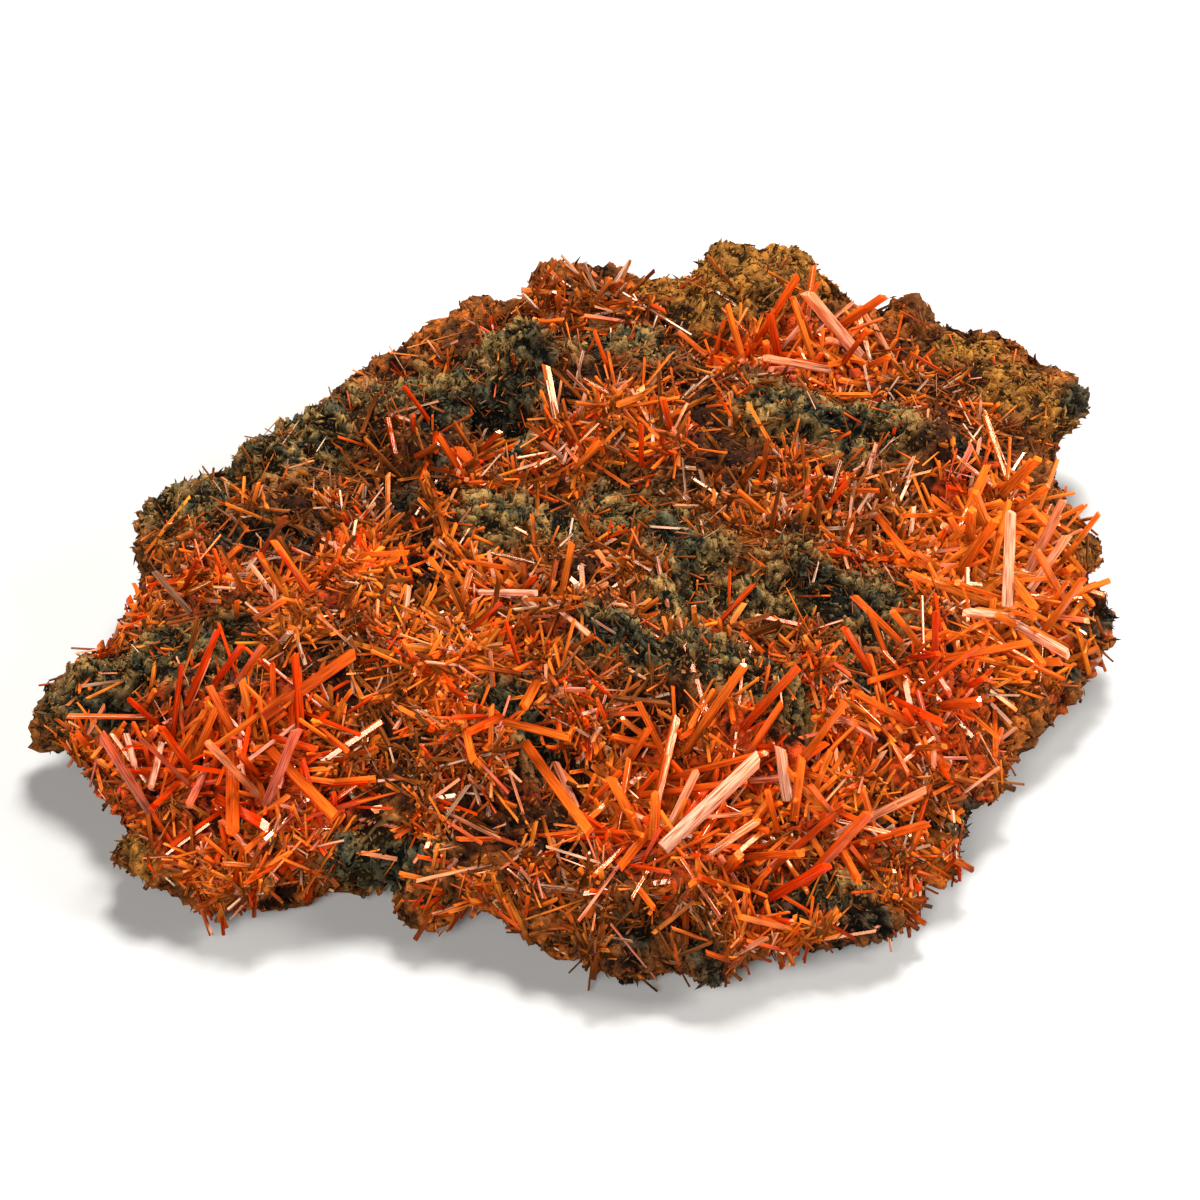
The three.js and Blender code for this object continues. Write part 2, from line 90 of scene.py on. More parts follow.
# An oval of the plate's upper side each, with its stand-out prisms as
# (x, y, bearing from +X, rise above the level, long, wide), and how many others fill it up, of which sizes.
Thicket = namedtuple("Thicket", "name at oval turn main count long wide")
THICKETS = (
    Thicket(
        "crystals_west_pocket", (-35, -27.5), (14, 9), -20,
        (
            (-30.5, -27, -55, 5, 13, 1.6), (-31, -24, 25, 25, 11, 1.6), (-34, -27, -85, 5, 12, 1.6),
            (-35, -32, -45, 12, 7.5, 1.4), (-27.5, -25.5, 95, 40, 7.5, 0.9), (-30, -26, -50, 28, 8, 0.9),
            (-36.5, -27.5, -95, 20, 9, 0.9), (-41.5, -23, -90, 15, 8.5, 0.9), (-45, -22, -75, 15, 6.5, 0.9),
            (-39, -28, -105, 25, 8, 0.9), (-25, -30.5, -15, 20, 6, 0.9),
        ),
        15, (6, 10), (0.9, 1.5),
    ),
    Thicket(
        "crystals_west_slope", (-32.5, -5.5), (12.5, 10), 0,
        ((-32.5, -13, -15, 45, 5, 0.9), (-27, -12, 135, 35, 6.5, 0.8), (-30, -10, 155, 60, 5, 0.9)),
        14, (4.5, 8), (0.8, 1.3),
    ),
    Thicket(
        "crystals_middle_slope", (-8, -16), (8, 16), 0,
        (
            (-5.5, -28.5, -65, 6, 15, 1.5), (-7.5, -27.5, -40, 20, 9, 0.9), (-12, -23.5, -80, 8, 9, 1.1),
            (-8, -27, -120, 25, 6.5, 0.9), (-4.5, -23.5, -105, 12, 5, 1.1), (-10.5, -7, -25, 20, 7, 0.9),
            (-12.5, -8, 160, 55, 5.5, 0.8), (-12, -12, 145, 65, 4.5, 0.8),
        ),
        14, (4.5, 8), (0.8, 1.3),
    ),
    Thicket(
        "crystals_front_pocket", (14, -35), (13, 9), -4,
        (
            (7.5, -40, 40, 20, 13, 1.6), (5.5, -38, 115, 12, 7.5, 1.2), (8, -37.5, 60, 30, 6.5, 1),
            (6.5, -39, 85, 40, 5, 1.1), (5.5, -31.5, -10, 20, 11, 0.9), (7, -30, -10, 28, 12, 0.8),
            (18.5, -36, 120, 60, 4.5, 0.9), (12, -40, 20, 30, 6, 0.9), (20, -35.5, 80, 40, 6.5, 1.1),
            (19.5, -33, 105, 55, 5.5, 1.1), (22, -32.5, 50, 60, 5, 0.9), (24, -35, 180, 60, 5.5, 0.9),
        ),
        14, (6, 11), (1, 1.7),
    ),
    Thicket(
        "crystals_south_east", (33, -21), (7.5, 9), 20,
        ((33, -25, -175, 40, 9.5, 0.9), (30, -21, -45, 10, 7, 1.2), (35.5, -16, 5, 10, 9, 1.1)),
        12, (6, 9), (0.9, 1.5),
    ),
    Thicket(
        "crystals_east_slope", (44, 0), (7.5, 12.5), 4,
        (
            (43, -5.5, 85, 30, 11, 1.2), (43.5, -6.5, -140, 35, 9, 1.1), (43.5, -7, -50, 8, 8, 1.1),
            (39, 5, 60, 35, 7, 1.2), (49, -4, 165, 60, 7, 1), (43, 1, -75, 12, 10, 1.1),
            (44, -8, -75, 12, 7, 0.9),
        ),
        13, (7, 11), (1, 1.7),
    ),
    Thicket(
        "crystals_middle", (21, 3), (12, 7), -8,
        ((30, 2, -75, 15, 10, 1.1), (29, -1.5, 5, 15, 7, 1)),
        11, (4, 7), (0.8, 1.2),
    ),
    Thicket(
        "crystals_crest", (3, 13), (8.5, 7), 0,
        (
            (-3, 15, 105, 45, 6, 0.9), (9, 14, -140, 75, 5, 0.9), (-1, 9, 10, 50, 4.5, 0.8),
            (6, 18, -115, 28, 7, 0.8),
        ),
        11, (4, 8), (0.8, 1.2),
    ),
    Thicket(
        "crystals_red_hollow", (-15, 12.5), (6, 5), 10,
        ((-11, 12, 150, 40, 4.5, 1.8),),
        8, (4, 6.5), (0.9, 1.5),
    ),
    Thicket(
        "crystals_north_east_hollow", (24, 32), (10, 6), -5,
        ((30, 32, 165, 50, 10, 1.5), (28, 33, -120, 40, 5, 0.9), (31, 30, -55, 45, 5, 0.9)),
        11, (6, 9), (0.9, 1.5),
    ),
    Thicket("crystals_north_rim", (0, 39), (8, 4), -3, (), 9, (4, 6.5), (0.8, 1.2)),
)

# ---- the looks alone, in millimetres where a comment doesn't say otherwise ------------------------------
HIGH = 50  # above the whole plate, where rays that look for the rock start
UPPER = 3  # height above which the rock carries earth, crusts and the painted shadow of the crystals
WELD = 0.001  # points of the solid plate nearer than this are one
ROUNDING = (0.6, 0.3, 0.0)  # how much each step that makes the rock's mesh finer rounds it
RIM_BINS = 90  # directions in which the plate's rim is looked up

# The relief of the rock. Knobs, folds and pits have the sizes of the rock's settings.
KNOB_BEND = 0.7  # how far knobs are bent out of square, over their size
KNOB_RISE, SMALL_RISE = 0.6, 0.5  # height of the knobs and of the smaller ones on them
SMALLER = 1.9  # how many times smaller those are
PLAIN_KNOBS, CRUST_KNOBS = 0.5, 0.6  # share of that height on plain rock, and what a crust adds to it
GRIT_RISE = 0.6  # height of the grit
LUMP_RISE = 1.3  # height of the lumps
FOLD_DEPTH, FOLD_LAYERS = 0.6, 3  # depth of the cracks between knobs, and how many sizes of them there are
PIT_DEPTH, PIT_FROM, PIT_SIZE = 2.2, 0.22, 0.8  # depth of pits, noise where they start, size over a lump's
PIT_SHIFT = Vector((7, 3, 1))  # keeps the pits' noise apart from the lumps'
EVEN_OUT = 0.1  # brings the mean height of the relief back to that of the solid
SHADE_MIDDLE = 0.35  # added to the relief's height before it sets the painted shade of hollows and the painted light of knobs
FOOT_FROM, FOOT_OVER = 0.02, 1.5  # height above the floor where relief starts, and over which it grows

# Earth, crusts and the painted shadow of the crystals on the rock.
MOTTLE, MOTTLE_GAIN, MOTTLE_MOST = 1.6, 3, 0.9  # size, sharpness and strength of black spots in olive earth
BARE_GAIN, BARE_FROM = 1.7, 0.1  # how fast earth keeps needles off, and from how much of it on
SHADOW_MOST, SHADOW_RIM, SHADOW_FADE = 0.95, 0.97, 0.12  # strength of the painted shadow among the crystals, and where it fades at the rim
GROWN_REACH, FINE_REACH, REACH_FADE = 1.25, 1.3, 0.35  # how far out of its oval a thicket counts, and fades
GROWN_POWER, FINE_POWER = 6, 4  # how sharply that depends on the length of its prisms
FINE_LONG = 5.5  # middling length up to which a thicket counts as fine growth

# How thickets of slender and of stout prisms differ: width and length of the solids' prisms over their own;
# density, radius over the oval's, greatest rise and width of the infill, and whether it grows in clumps;
# how clean the prisms are at most, and how much that varies.
Habit = namedtuple("Habit", "wide long density radius rise infill_wide clumped clean film")
SLENDER = Habit(0.6, 0.8, 0.86, 1.02, 0.7, 0.84, True, 1.1, 0.9)
STOUT = Habit(0.75, 1, 1.15, 1.12, 1.1, 1, False, 1.2, 0.2)
STOUT_FROM = 7  # middling length from which a thicket's prisms are stout

# The narrower prisms between the solids' own.
INFILL_DENSITY = 0.7  # how many to a square millimetre of the oval
INFILL_REACH = 0.4  # how far from the rock their tips are at most, over the thicket's middling length
INFILL_LONG = (0.5, 1.25)  # their length over the thicket's own
INFILL_WIDE = (0.28, 0.68)  # their width over the thicket's own
INFILL_RISE = (-0.05, 0.3)  # their least and likeliest rise off the rock
INFILL_LIFT = (-0.4, 1.2)  # height of their feet above the rock
INFILL_BACK = 0.2  # how far they reach back from that place, over their length
INFILL_DUST = 0.4  # share of them that dust keeps away
INFILL_CLUMPS = 0.35  # share of the rock on which slender ones stand
STEEPEST_FALL = -0.4  # upward part of the direction of those that hang most
LOWEST_TIP = 3.0  # how high above the floor their tips are at least
LATHS = 0.5  # share of prisms with a narrower one grown against their side
LATH_ASIDE, LATH_WIDE, LATH_LONG = 0.55, 0.62, (0.45, 0.97)  # its place, width and length over the prism's

# Needles and crumbs. A facing is the upward part of the rock's normal.
CLUMP, CLUMP_GAIN, CLUMP_LEAST = 4.0, 3.0, 0.03  # size and sharpness of clumps, and density between them
DRIFT = 7.0  # size of the zones of redder or yellower crystals
FILMED = 0.3  # film on the needles outside the thickets of long prisms
STRAY = 0.004  # share of the needles at the rim that may stick out beyond it
LEAST, MOST = 0.4, 1.9  # smallest and largest of needles and crumbs over the middling one
LONG_SPREAD, WIDE_SPREAD, CRUMB_SPREAD = 0.42, 0.36, 0.35  # how much lengths and widths vary
FRONT_Y, REAR_HALF_Y, REAR_Y, EAST_X = -20, 5, 15, 40  # where the plate's front, rear and right parts begin
LIT_RIM = (1.02, 0.97, 0.92)  # how far out over the rim's distance bright ones stand: front, between, rear
LIT_STEEP, LIT_LOW = (-0.4, 0.25), 1.8  # least facing they stand on, at the front and elsewhere, and height
LIT_CLUMPS, LIT_BARE, LIT_DUST = 0.25, 0.97, 0.75  # share of rock in clumps, and what earth and dust take off
OUTSIDE = ((-32, 0.24), (5, 0.16), (math.inf, 0.03))  # outside the thickets: up to which y, how dense
IN_THICKET, UNDER_LONG = 0.44, 0.92  # density among short prisms, and the share kept away under long ones
DUSTY_STEEP, DUSTY_LOW = -0.5, 1.5  # least facing and height at which filmed ones stand
DUSTY_CLUMPS, DUSTY_BARE = 0.5, 0.65  # share of rock in their clumps, and what earth takes off them
DUSTY_ELSEWHERE = 0.3  # their density where no dust lies
DUSTY_FADE, DUSTY_RIM = 0.08, 0.12  # over which share of the way they thin out at the rear rim, and to what
NEEDLE_FALL = -0.1  # how far they point into the rock at most
NEEDLE_LIFT, NEEDLE_BACK = (-0.3, 0.7), 0.3  # height of their feet, and their part behind that place
NEEDLE_DUST, FILM_VARIES, DRIFT_FILM = 0.45, 0.9, 0.5  # how dust, chance and place film them
EARTH_SHRINKS, STEEP, STEEP_SHRINKS = 0.4, 0.25, 0.5  # how much shorter on earth, and how short where steep
NEEDLE_TONES, NEEDLE_DRIFT, NEEDLE_PALE = (-0.2, 0.9), 0.6, (0.1, 0.6)  # colour, its drift, and the strength of painted highlights
CRUMB_STEEP, CRUMB_LOW = -0.6, 0.8  # least facing and height at which crumbs lie
CRUMBS_EVERYWHERE, CRUMBS_ON_EARTH, CRUMBS_IN_DUST = 0.25, 1.3, 0.4  # density, and what earth and dust add
CRUMB_LIFT = 0.3  # how far a crumb is lifted out of the rock, over its width
CRUMB_SHADOW, CRUMB_JITTER, CRUMB_SHADE = 0.7, 0.25, 0.6  # painted shadow among the crystals, and how much colour and painted shade vary
CRUMB_SHAPES = 6  # how many shapes crumbs have

# Which stand-out prisms get a painted highlight, shining nearly white along a face.
PALE = {
    "crystals_front_pocket": (0, 9),
    "crystals_east_slope": (0, 1, 2),
    "crystals_middle_slope": (5,),
    "crystals_west_pocket": (7, 8),
}
FULLY_PALE = 0.8  # how strong their painted highlight is
PALE_SHARE, SOME_PALE = 0.09, (0.1, 0.5)  # share of the other prisms with a painted highlight, and how strong it is
# How many times the usual infill some of the thickets have.
FULLNESS = {
    "crystals_east_slope": 1.5,
    "crystals_west_slope": 0.8,
    "crystals_middle_slope": 0.85,
    "crystals_crest": 0.7,
    "crystals_north_rim": 0.8,
    "crystals_middle": 0.35,
}
END_SHARES = (0.5, 0.2, 0.15, 0.15)  # of prisms with a slanted, chisel-shaped, pointed and hollow end
CLEANEST, DUST_FILM = 1.2, 0.6  # how clean stand-out prisms are, and how much dust films the others
DRIFT_TONE = 0.4  # how much the colour of the thickets' prisms drifts from place to place
# From how deep to how bright a thicket's prisms are, where that differs from the usual.
# partly the crystals' own colour and partly painted light: thickets in shade, such as the middle and west
# slopes, are deeper, the lit east slope brighter
USUAL_TONES = (0, 0.8)
TONES = {
    "crystals_west_pocket": (-0.5, 0.55),
    "crystals_front_pocket": (-0.25, 0.7),
    "crystals_east_slope": (0.35, 1.3),
    "crystals_red_hollow": (-0.6, 0.1),
    "crystals_west_slope": (-0.4, 0.7),
    "crystals_middle_slope": (-0.5, 0.6),
    "crystals_south_east": (-0.2, 0.75),
    "crystals_middle": (-0.4, 0.6),
}

# Earth and crusts, each along a line in plan, from which it fades: x and y of both ends, and the spread.
PATCHES = {
    "olive": (
        (-50, -16, -35, -14.5, 4.8), (-42, 9, -28, 16, 5.2), (-29, 21, -9, 23.5, 6),
        (-2, 31.5, 7, 29.5, 5), (19.5, 18, 32, 14.5, 4.2), (21.5, -7, 29.5, -10, 4.8),
        (4, 6, 11, -5, 4.8), (-10, 4.5, -3, 2.5, 4.1), (12.5, -21.5, 20, -24, 3),
        (0.5, -17.5, 11, -20.5, 3), (-23, -36.5, -14.5, -37, 2.1), (-9.5, -22.5, -4.5, -26.5, 3.2),
        (8, -10, 19, -10.5, 3), (26, -15.5, 28, -18, 2.3), (-8, 17, -5, 12, 2), (19, -40, 26, -40, 1.8),
    ),
    "black": (
        (-50, -18.5, -45, -19.5, 1.7), (-33.5, -19.5, -33, -16, 1.5), (-37, 3, -28.5, 3, 2),
        (-16.5, 18, -7, 20, 2), (-5, 22.5, -4, 22.5, 1.7), (-9, 16.5, -7, 13.5, 1.3),
        (-18.5, 7.5, -15, 11, 1.9), (39.5, 13, 42, 14.5, 1.3), (22.5, -8, 28.5, -10, 1.6),
        (7, 1, 11, -5, 1.5), (24, 16.5, 29, 15.5, 1.3), (1, -18, 6, -19.5, 1.5),
        (-8.5, -24, -5.5, -25.5, 2.2), (-24, -37, -15, -37.5, 1.1), (3.5, -45.5, 5, -46, 1.7),
        (11, -47, 12, -49, 1.9), (18.5, -41.5, 28, -43, 1.5), (51, -6, 54.5, -2.5, 1.3),
        (49, -11.5, 50, -10, 0.8), (36, -33, 38.5, -28, 1.1), (53, 27, 55, 29.5, 2),
    ),
    "ochre": (
        (7.5, 41.5, 11.5, 40.5, 3.5), (14, 46.5, 24, 46.5, 4.5), (13, 40, 21, 41, 3.5),
        (40.5, 32, 44.5, 33.5, 3), (45, 28, 51.5, 26, 4.5), (-43.5, -34, -42, -36.5, 1.4),
        (51.5, 8.5, 52.5, 6.5, 1.4),
    ),
    # dust films the crystals; some patches, as in the hollow between the west pocket and middle slope, darken
    # crystals in shade as painted shade
    "dust": (
        (4, 10, 28, 3, 6), (6, -3, 28, -8, 5), (-14, 15, 8, 24, 5), (33, -30, 40, -22, 3.5),
        (-4, -42, 11, -46, 4), (-42, 8, -24, 20, 5), (-41, 1, -24, 3, 6), (-22, 12, -14, 18, 6),
        (-6, -14, -3, -3, 5), (-14, -30, -4, -33, 4), (-25, -18, -22, -12, 4), (10, 2, 26, -4, 7),
        (28, 38, 46, 30, 6), (20, 22, 40, 18, 4), (10, -14, 26, -17, 4), (-10, 40, 10, 38, 5),
        (30, -33, 24, -39, 3.5), (45, -13, 37, -27, 4), (46, 20, 50, 12, 3.5), (-27, -39, -22, -39.5, 2),
        (52, -3, 53, 8, 3), (-47, -27, -30, -36, 3), (-22, -15, -19, -27, 4.5), (-25, -9, -21, -8, 3),
        (-43, -3, -36, -9, 4), (-25, -26, -20, -31, 3.5), (27, -14, 33, -19, 4), (-12, 13, -5, 16, 4),
        (22, 4, 29, -1, 3.5), (-41, -10, -33, -13, 4), (-2, -21, 5, -23.5, 3), (-8, -19, -3, -21, 3),
        (-17, -27, -11, -29, 3), (17, -39, 27, -36.5, 3),
    ),
}
OLIVE, BLACK, OCHRE, DUST = range(len(PATCHES))  # their columns

# The lights, in metres and watts.
Light = namedtuple("Light", "name place size power")
LIGHTS = (
    Light("key", (0.05, 0.28, 0.6), 0.2, 9.5),
    Light("front", (-0.12, -0.48, 0.42), 0.24, 4.7),
    Light("right", (0.55, -0.05, 0.36), 0.22, 5.2),
)
FLOOR_HALF = 3  # half the floor's side, in metres
SKY = 0.03  # strength of the light from all around
SENSOR = 36  # width of the camera's sensor, in millimetres
CLIP = (0.01, 10)  # nearest and farthest that the camera sees, in metres


# ---- settings a user would change -----------------------------------------------------------------------
def linear(code):
    """An sRGB colour such as #c05010 as linear red, green, blue and 1."""
    shares = (int(code[i : i + 2], 16) / 255 for i in (1, 3, 5))
    return tuple(s / 12.92 if s <= 0.04045 else ((s + 0.055) / 1.055) ** 2.4 for s in shares) + (1.0,)


def colour(name, description, code):
    """A colour setting with its default given as sRGB hex."""
    return FloatVectorProperty(
        name=name, description=description, subtype="COLOR", size=4, min=0, max=1, default=linear(code)
    )


def length(name, description, millimetres):
    """A length setting with its default given in millimetres."""
    return FloatProperty(name=name, description=description, unit="LENGTH", min=0, default=millimetres * MM)


class GossanSettings(bpy.types.PropertyGroup):
    """Sizes and colours of the rock and its crumbs."""

    brown: colour("Brown", "Iron oxide of the rock itself", "#563012")
    rust: colour("Rust", "Rusty spots of the rock", "#984c16")
    olive: colour("Olive", "Olive earth on the ridges", "#715a31")
    black: colour("Black", "Manganese crust, a green-black", "#272d22")
    ochre: colour("Ochre", "Yellow ochre of the far humps", "#80541e")
    # painted shadow: the rock under and between the crystals darkened almost to black, where shade falls
    crystal_shadow: colour("Shadow", "Rock under the crystals, stained by them", "#1e0a04")
    grown: colour("Grown over", "Crust of intergrown crocoite under the long prisms", "#a6380c")
    lump: length("Lumps", "Size of the rock's lumps", 4.5)
    knob: length("Knobs", "Size of the knobs of its crusts", 1.4)
    grit: length("Grit", "Size of its coarse grit", 0.7)
    crumbs: IntProperty(name="Crumbs", description="How many crumbs lie on the rock", default=22000, min=0)
    crumb: length("Crumb", "Width of a middling crumb", 0.45)
    grains: IntProperty(name="Grains", description="How many grains lie on the rock", default=22000, min=0)
    grain: length("Grain", "Width of a middling grain", 0.3)


class CrocoiteSettings(bpy.types.PropertyGroup):
    """Sizes and colours of the crystals."""

    deep: colour("Deep", "Crocoite where light goes far through it", "#e63e04")
    bright: colour("Bright", "Crocoite in thin and well-lit prisms", "#f68426")
    # painted highlight: the near-white shine of a face, painted into these prisms' colour
    pale: colour("Pale", "Prisms that shine nearly white along a face", "#ffd0ac")
    dusty: colour("Dusty", "Needles under a film of earth", "#7a3e16")
    sheen: colour("Sheen", "Light thrown back by the faces, warmed by the crystal", "#ffd6b4")
    needles: IntProperty(name="Needles", description="How many needles a piece has", default=7000, min=0)
    needle_long: length("Needle length", "Length of a middling needle", 5.0)
    needle_wide: length("Needle width", "Width of a middling needle", 0.4)


class StageSettings(bpy.types.PropertyGroup):
    """The floor and the camera."""

    floor: colour("Floor", "Pale floor", "#a8a6a3")
    elevation: FloatProperty(
        name="Elevation", description="How far the camera looks down", subtype="ANGLE",
        default=math.radians(42),
    )
    distance: length("Distance", "From the camera to what it looks at", 340)
    focal: FloatProperty(name="Focal length", description="Lens on a 36 mm sensor", default=99.45, min=1)
    target: FloatVectorProperty(
        name="Target", description="What the camera looks at", subtype="TRANSLATION", unit="LENGTH",
        default=(1.6 * MM, -2.8 * MM, 10 * MM),
    )


# ---- helpers --------------------------------------------------------------------------------------------
def random_from(seed):
    """A repeatable generator of numbers from 0 to 1, the same as the solids' one."""
    mask = 0xFFFFFFFF
    state = seed

    def draw():
        nonlocal state
        state = (state + 0x6D2B79F5) & mask
        mixed = ((state ^ (state >> 15)) * (1 | state)) & mask
        mixed = ((mixed + (mixed ^ (mixed >> 7)) * (61 | mixed)) ^ mixed) & mask
        return (mixed ^ (mixed >> 14)) / 2**32

    return draw


def new_object(name, mesh, material, slot, *replaced):
    """A finished piece at the origin, riding on the plate's only body."""
    made = bpy.data.objects.new(name, mesh)
    bpy.context.scene.collection.objects.link(made)
    mesh.materials.append(material)
    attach(made, "root")
    if replaced:
        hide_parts(*replaced)


def tree_of(mesh):
    """A search tree of a mesh, in millimetres."""
    bm = bmesh.new()
    bm.from_mesh(mesh)
    bmesh.ops.scale(bm, vec=(1 / MM,) * 3, verts=bm.verts)
    tree = BVHTree.FromBMesh(bm)
    bm.free()
    return tree


def rock_under(tree, x, y, z=HIGH):
    """Where a plumb line through a point meets the rock, and how it faces there: None beyond the rim."""
    return tree.ray_cast(Vector((x, y, z)), Vector((0, 0, -1)))[:2]


def between(ends, share):
    """The value that lies a share of the way between two others."""
    return ends[0] + (ends[1] - ends[0]) * share


def noise_at(points, size):
    """Soft noise at each point, mostly from -0.5 to 0.5, with waves of about a size."""
    return np.array([noise.noise(Vector(point) / size) for point in points])


def line_distance(points, start, end):
    """Distance in plan from each point to the line from start to end."""
    points, start, along = np.asarray(points), np.array(start, float), np.subtract(end, start)
    share = ((points[:, :2] - start) @ along / (along @ along)).clip(0, 1)
    return np.linalg.norm(points[:, :2] - start - share[:, None] * along, axis=1)


def oval_share(thicket, x, y):
    """How far out of a thicket's oval a place is: 0 at its middle, 1 at its edge. Takes numbers or arrays."""
    turn = math.radians(-thicket.turn)
    dx, dy = x - thicket.at[0], y - thicket.at[1]
    along = dx * math.cos(turn) - dy * math.sin(turn)
    across = dx * math.sin(turn) + dy * math.cos(turn)
    waver = WAVER_SHARE * np.sin(x / WAVER_SIZE) * np.sin(y / WAVER_SIZE)
    return np.hypot(along / thicket.oval[0], across / thicket.oval[1]) * (1 + waver)


def patch_weights(points):
    """How much olive earth, black crust, ochre and dust there is at each point, from 0 to 1 a column."""
    weights = np.zeros((len(points), len(PATCHES)))
    for column, patches in enumerate(PATCHES.values()):
        for *line, spread in patches:
            near = np.exp(-((line_distance(points, line[:2], line[2:]) / spread) ** 2))
            weights[:, column] = np.maximum(weights[:, column], near)
    mottle = (MOTTLE_GAIN * noise_at(points, MOTTLE)).clip(0, MOTTLE_MOST)
    weights[:, BLACK] = np.maximum(weights[:, BLACK], weights[:, OLIVE] * mottle)
    return weights


def bareness(points):
    """How much earth or crust keeps needles off each point."""
    return (BARE_GAIN * patch_weights(points)[:, :DUST].max(axis=1) - BARE_FROM).clip(0, 1)


def clumps(points, share):
    """Needles grow in clumps, on about a share of the rock: from 0 between them to 1 inside them."""
    return (share + CLUMP_GAIN * noise_at(points, CLUMP)).clip(CLUMP_LEAST, 1)


def thicket_cover(points, strength_of, reach):
    """How much the thickets cover each point, each with a strength that follows from its middling length."""
    cover = np.zeros(len(points))
    for thicket in THICKETS:
        share = oval_share(thicket, points[:, 0], points[:, 1])
        strength = min(1, strength_of(np.mean(thicket.long)))
        cover = np.maximum(cover, strength * ((reach - share) / REACH_FADE).clip(0, 1))
    return cover


def grown_over(points):
    """How much the crocoite over each point covers it: 1 under long prisms, 0 well outside the thickets."""
    return thicket_cover(points, lambda long: min(1, long / STOUT_FROM) ** GROWN_POWER, GROWN_REACH)


def short_grown(points):
    """How much of the thickets' fine growth covers each point: less where their prisms are long."""
    return thicket_cover(points, lambda long: (FINE_LONG / long) ** FINE_POWER, FINE_REACH)


def shadowed(points):
    """How much painted shadow darkens the rock at each point: wherever crystals stand, less so towards the
    rim.
    """
    inner = ((SHADOW_RIM - rim_share(points)) / SHADOW_FADE).clip(0, 1)
    return np.maximum(grown_over(points), SHADOW_MOST - bareness(points)).clip(0, 1) * inner


def rim_share(points):
    """How far out each point is on the plate: 0 at its middle, 1 at its rim."""
    low = np.array([v.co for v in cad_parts["matrix"].data.vertices]) / MM
    bins = np.linspace(-math.pi, math.pi, RIM_BINS + 1)
    middles = (bins[:-1] + bins[1:]) / 2
    around, out = np.arctan2(low[:, 1], low[:, 0]), np.hypot(low[:, 0], low[:, 1])
    reach = [out[(around >= a) & (around < b)].max() for a, b in zip(bins[:-1], bins[1:])]
    there = np.interp(np.arctan2(points[:, 1], points[:, 0]), middles, reach, period=2 * math.pi)
    return np.hypot(points[:, 0], points[:, 1]) / there


def store(mesh, name, values, kind="FLOAT"):
    """Keeps a value or a colour for each point of a mesh."""
    attribute = mesh.attributes.new(name, kind, "POINT")
    field = "color" if kind == "FLOAT_COLOR" else "value"
    attribute.data.foreach_set(field, np.ravel(values).astype(np.float32))


# ---- many copies joined in one mesh ---------------------------------------------------------------------
# A template's points are in widths, and those of its far end count from there. Its UV is in widths too.
Template = namedtuple("Template", "points far corners starts uv uv_far")
TALL = 4.0  # length of a template in widths, before its far end is moved to a prism's own
ORDER = Vector((1, 0.618, 0.272))  # the way along which a template's points and faces are counted
DIGITS = 6  # to which its points are rounded, so that all runs agree
FACE_SHIFT, COPY_SHIFT = 3.7, 5.3  # how far the lines along a prism are moved on each next face and copy


def template_of(bm, tall):
    """The arrays of a small shape made in bmesh. Faces get a UV across and along them."""
    bmesh.ops.recalc_face_normals(bm, faces=bm.faces[:])
    bm.verts.sort(key=lambda vert: vert.co.dot(ORDER))
    bm.faces.sort(key=lambda face: face.calc_center_median().dot(ORDER))
    bm.verts.index_update()
    points = np.array([v.co for v in bm.verts]).round(DIGITS)
    far = points[:, 2] > tall / 2 if tall else np.zeros(len(points), bool)
    points[far, 2] -= tall
    corners, starts, uv, uv_far = [], [], [], []
    for number, face in enumerate(bm.faces):
        starts.append(len(corners))
        end = abs(face.normal.z) > 0.5
        across = Vector((1, 0, 0)) if end else Vector((0, 0, 1)).cross(face.normal).normalized()
        verts = list(face.verts)
        first = verts.index(min(verts, key=lambda vert: vert.index))
        for vert in verts[first:] + verts[:first]:
            corners.append(vert.index)
            uv.append((vert.co.dot(across) + FACE_SHIFT * number, points[vert.index][1 if end else 2]))
            uv_far.append(bool(far[vert.index]) and not end)
    bm.free()
    uv = np.array(uv).round(DIGITS)
    return Template(points, far, np.array(corners), np.array(starts), uv, np.array(uv_far))


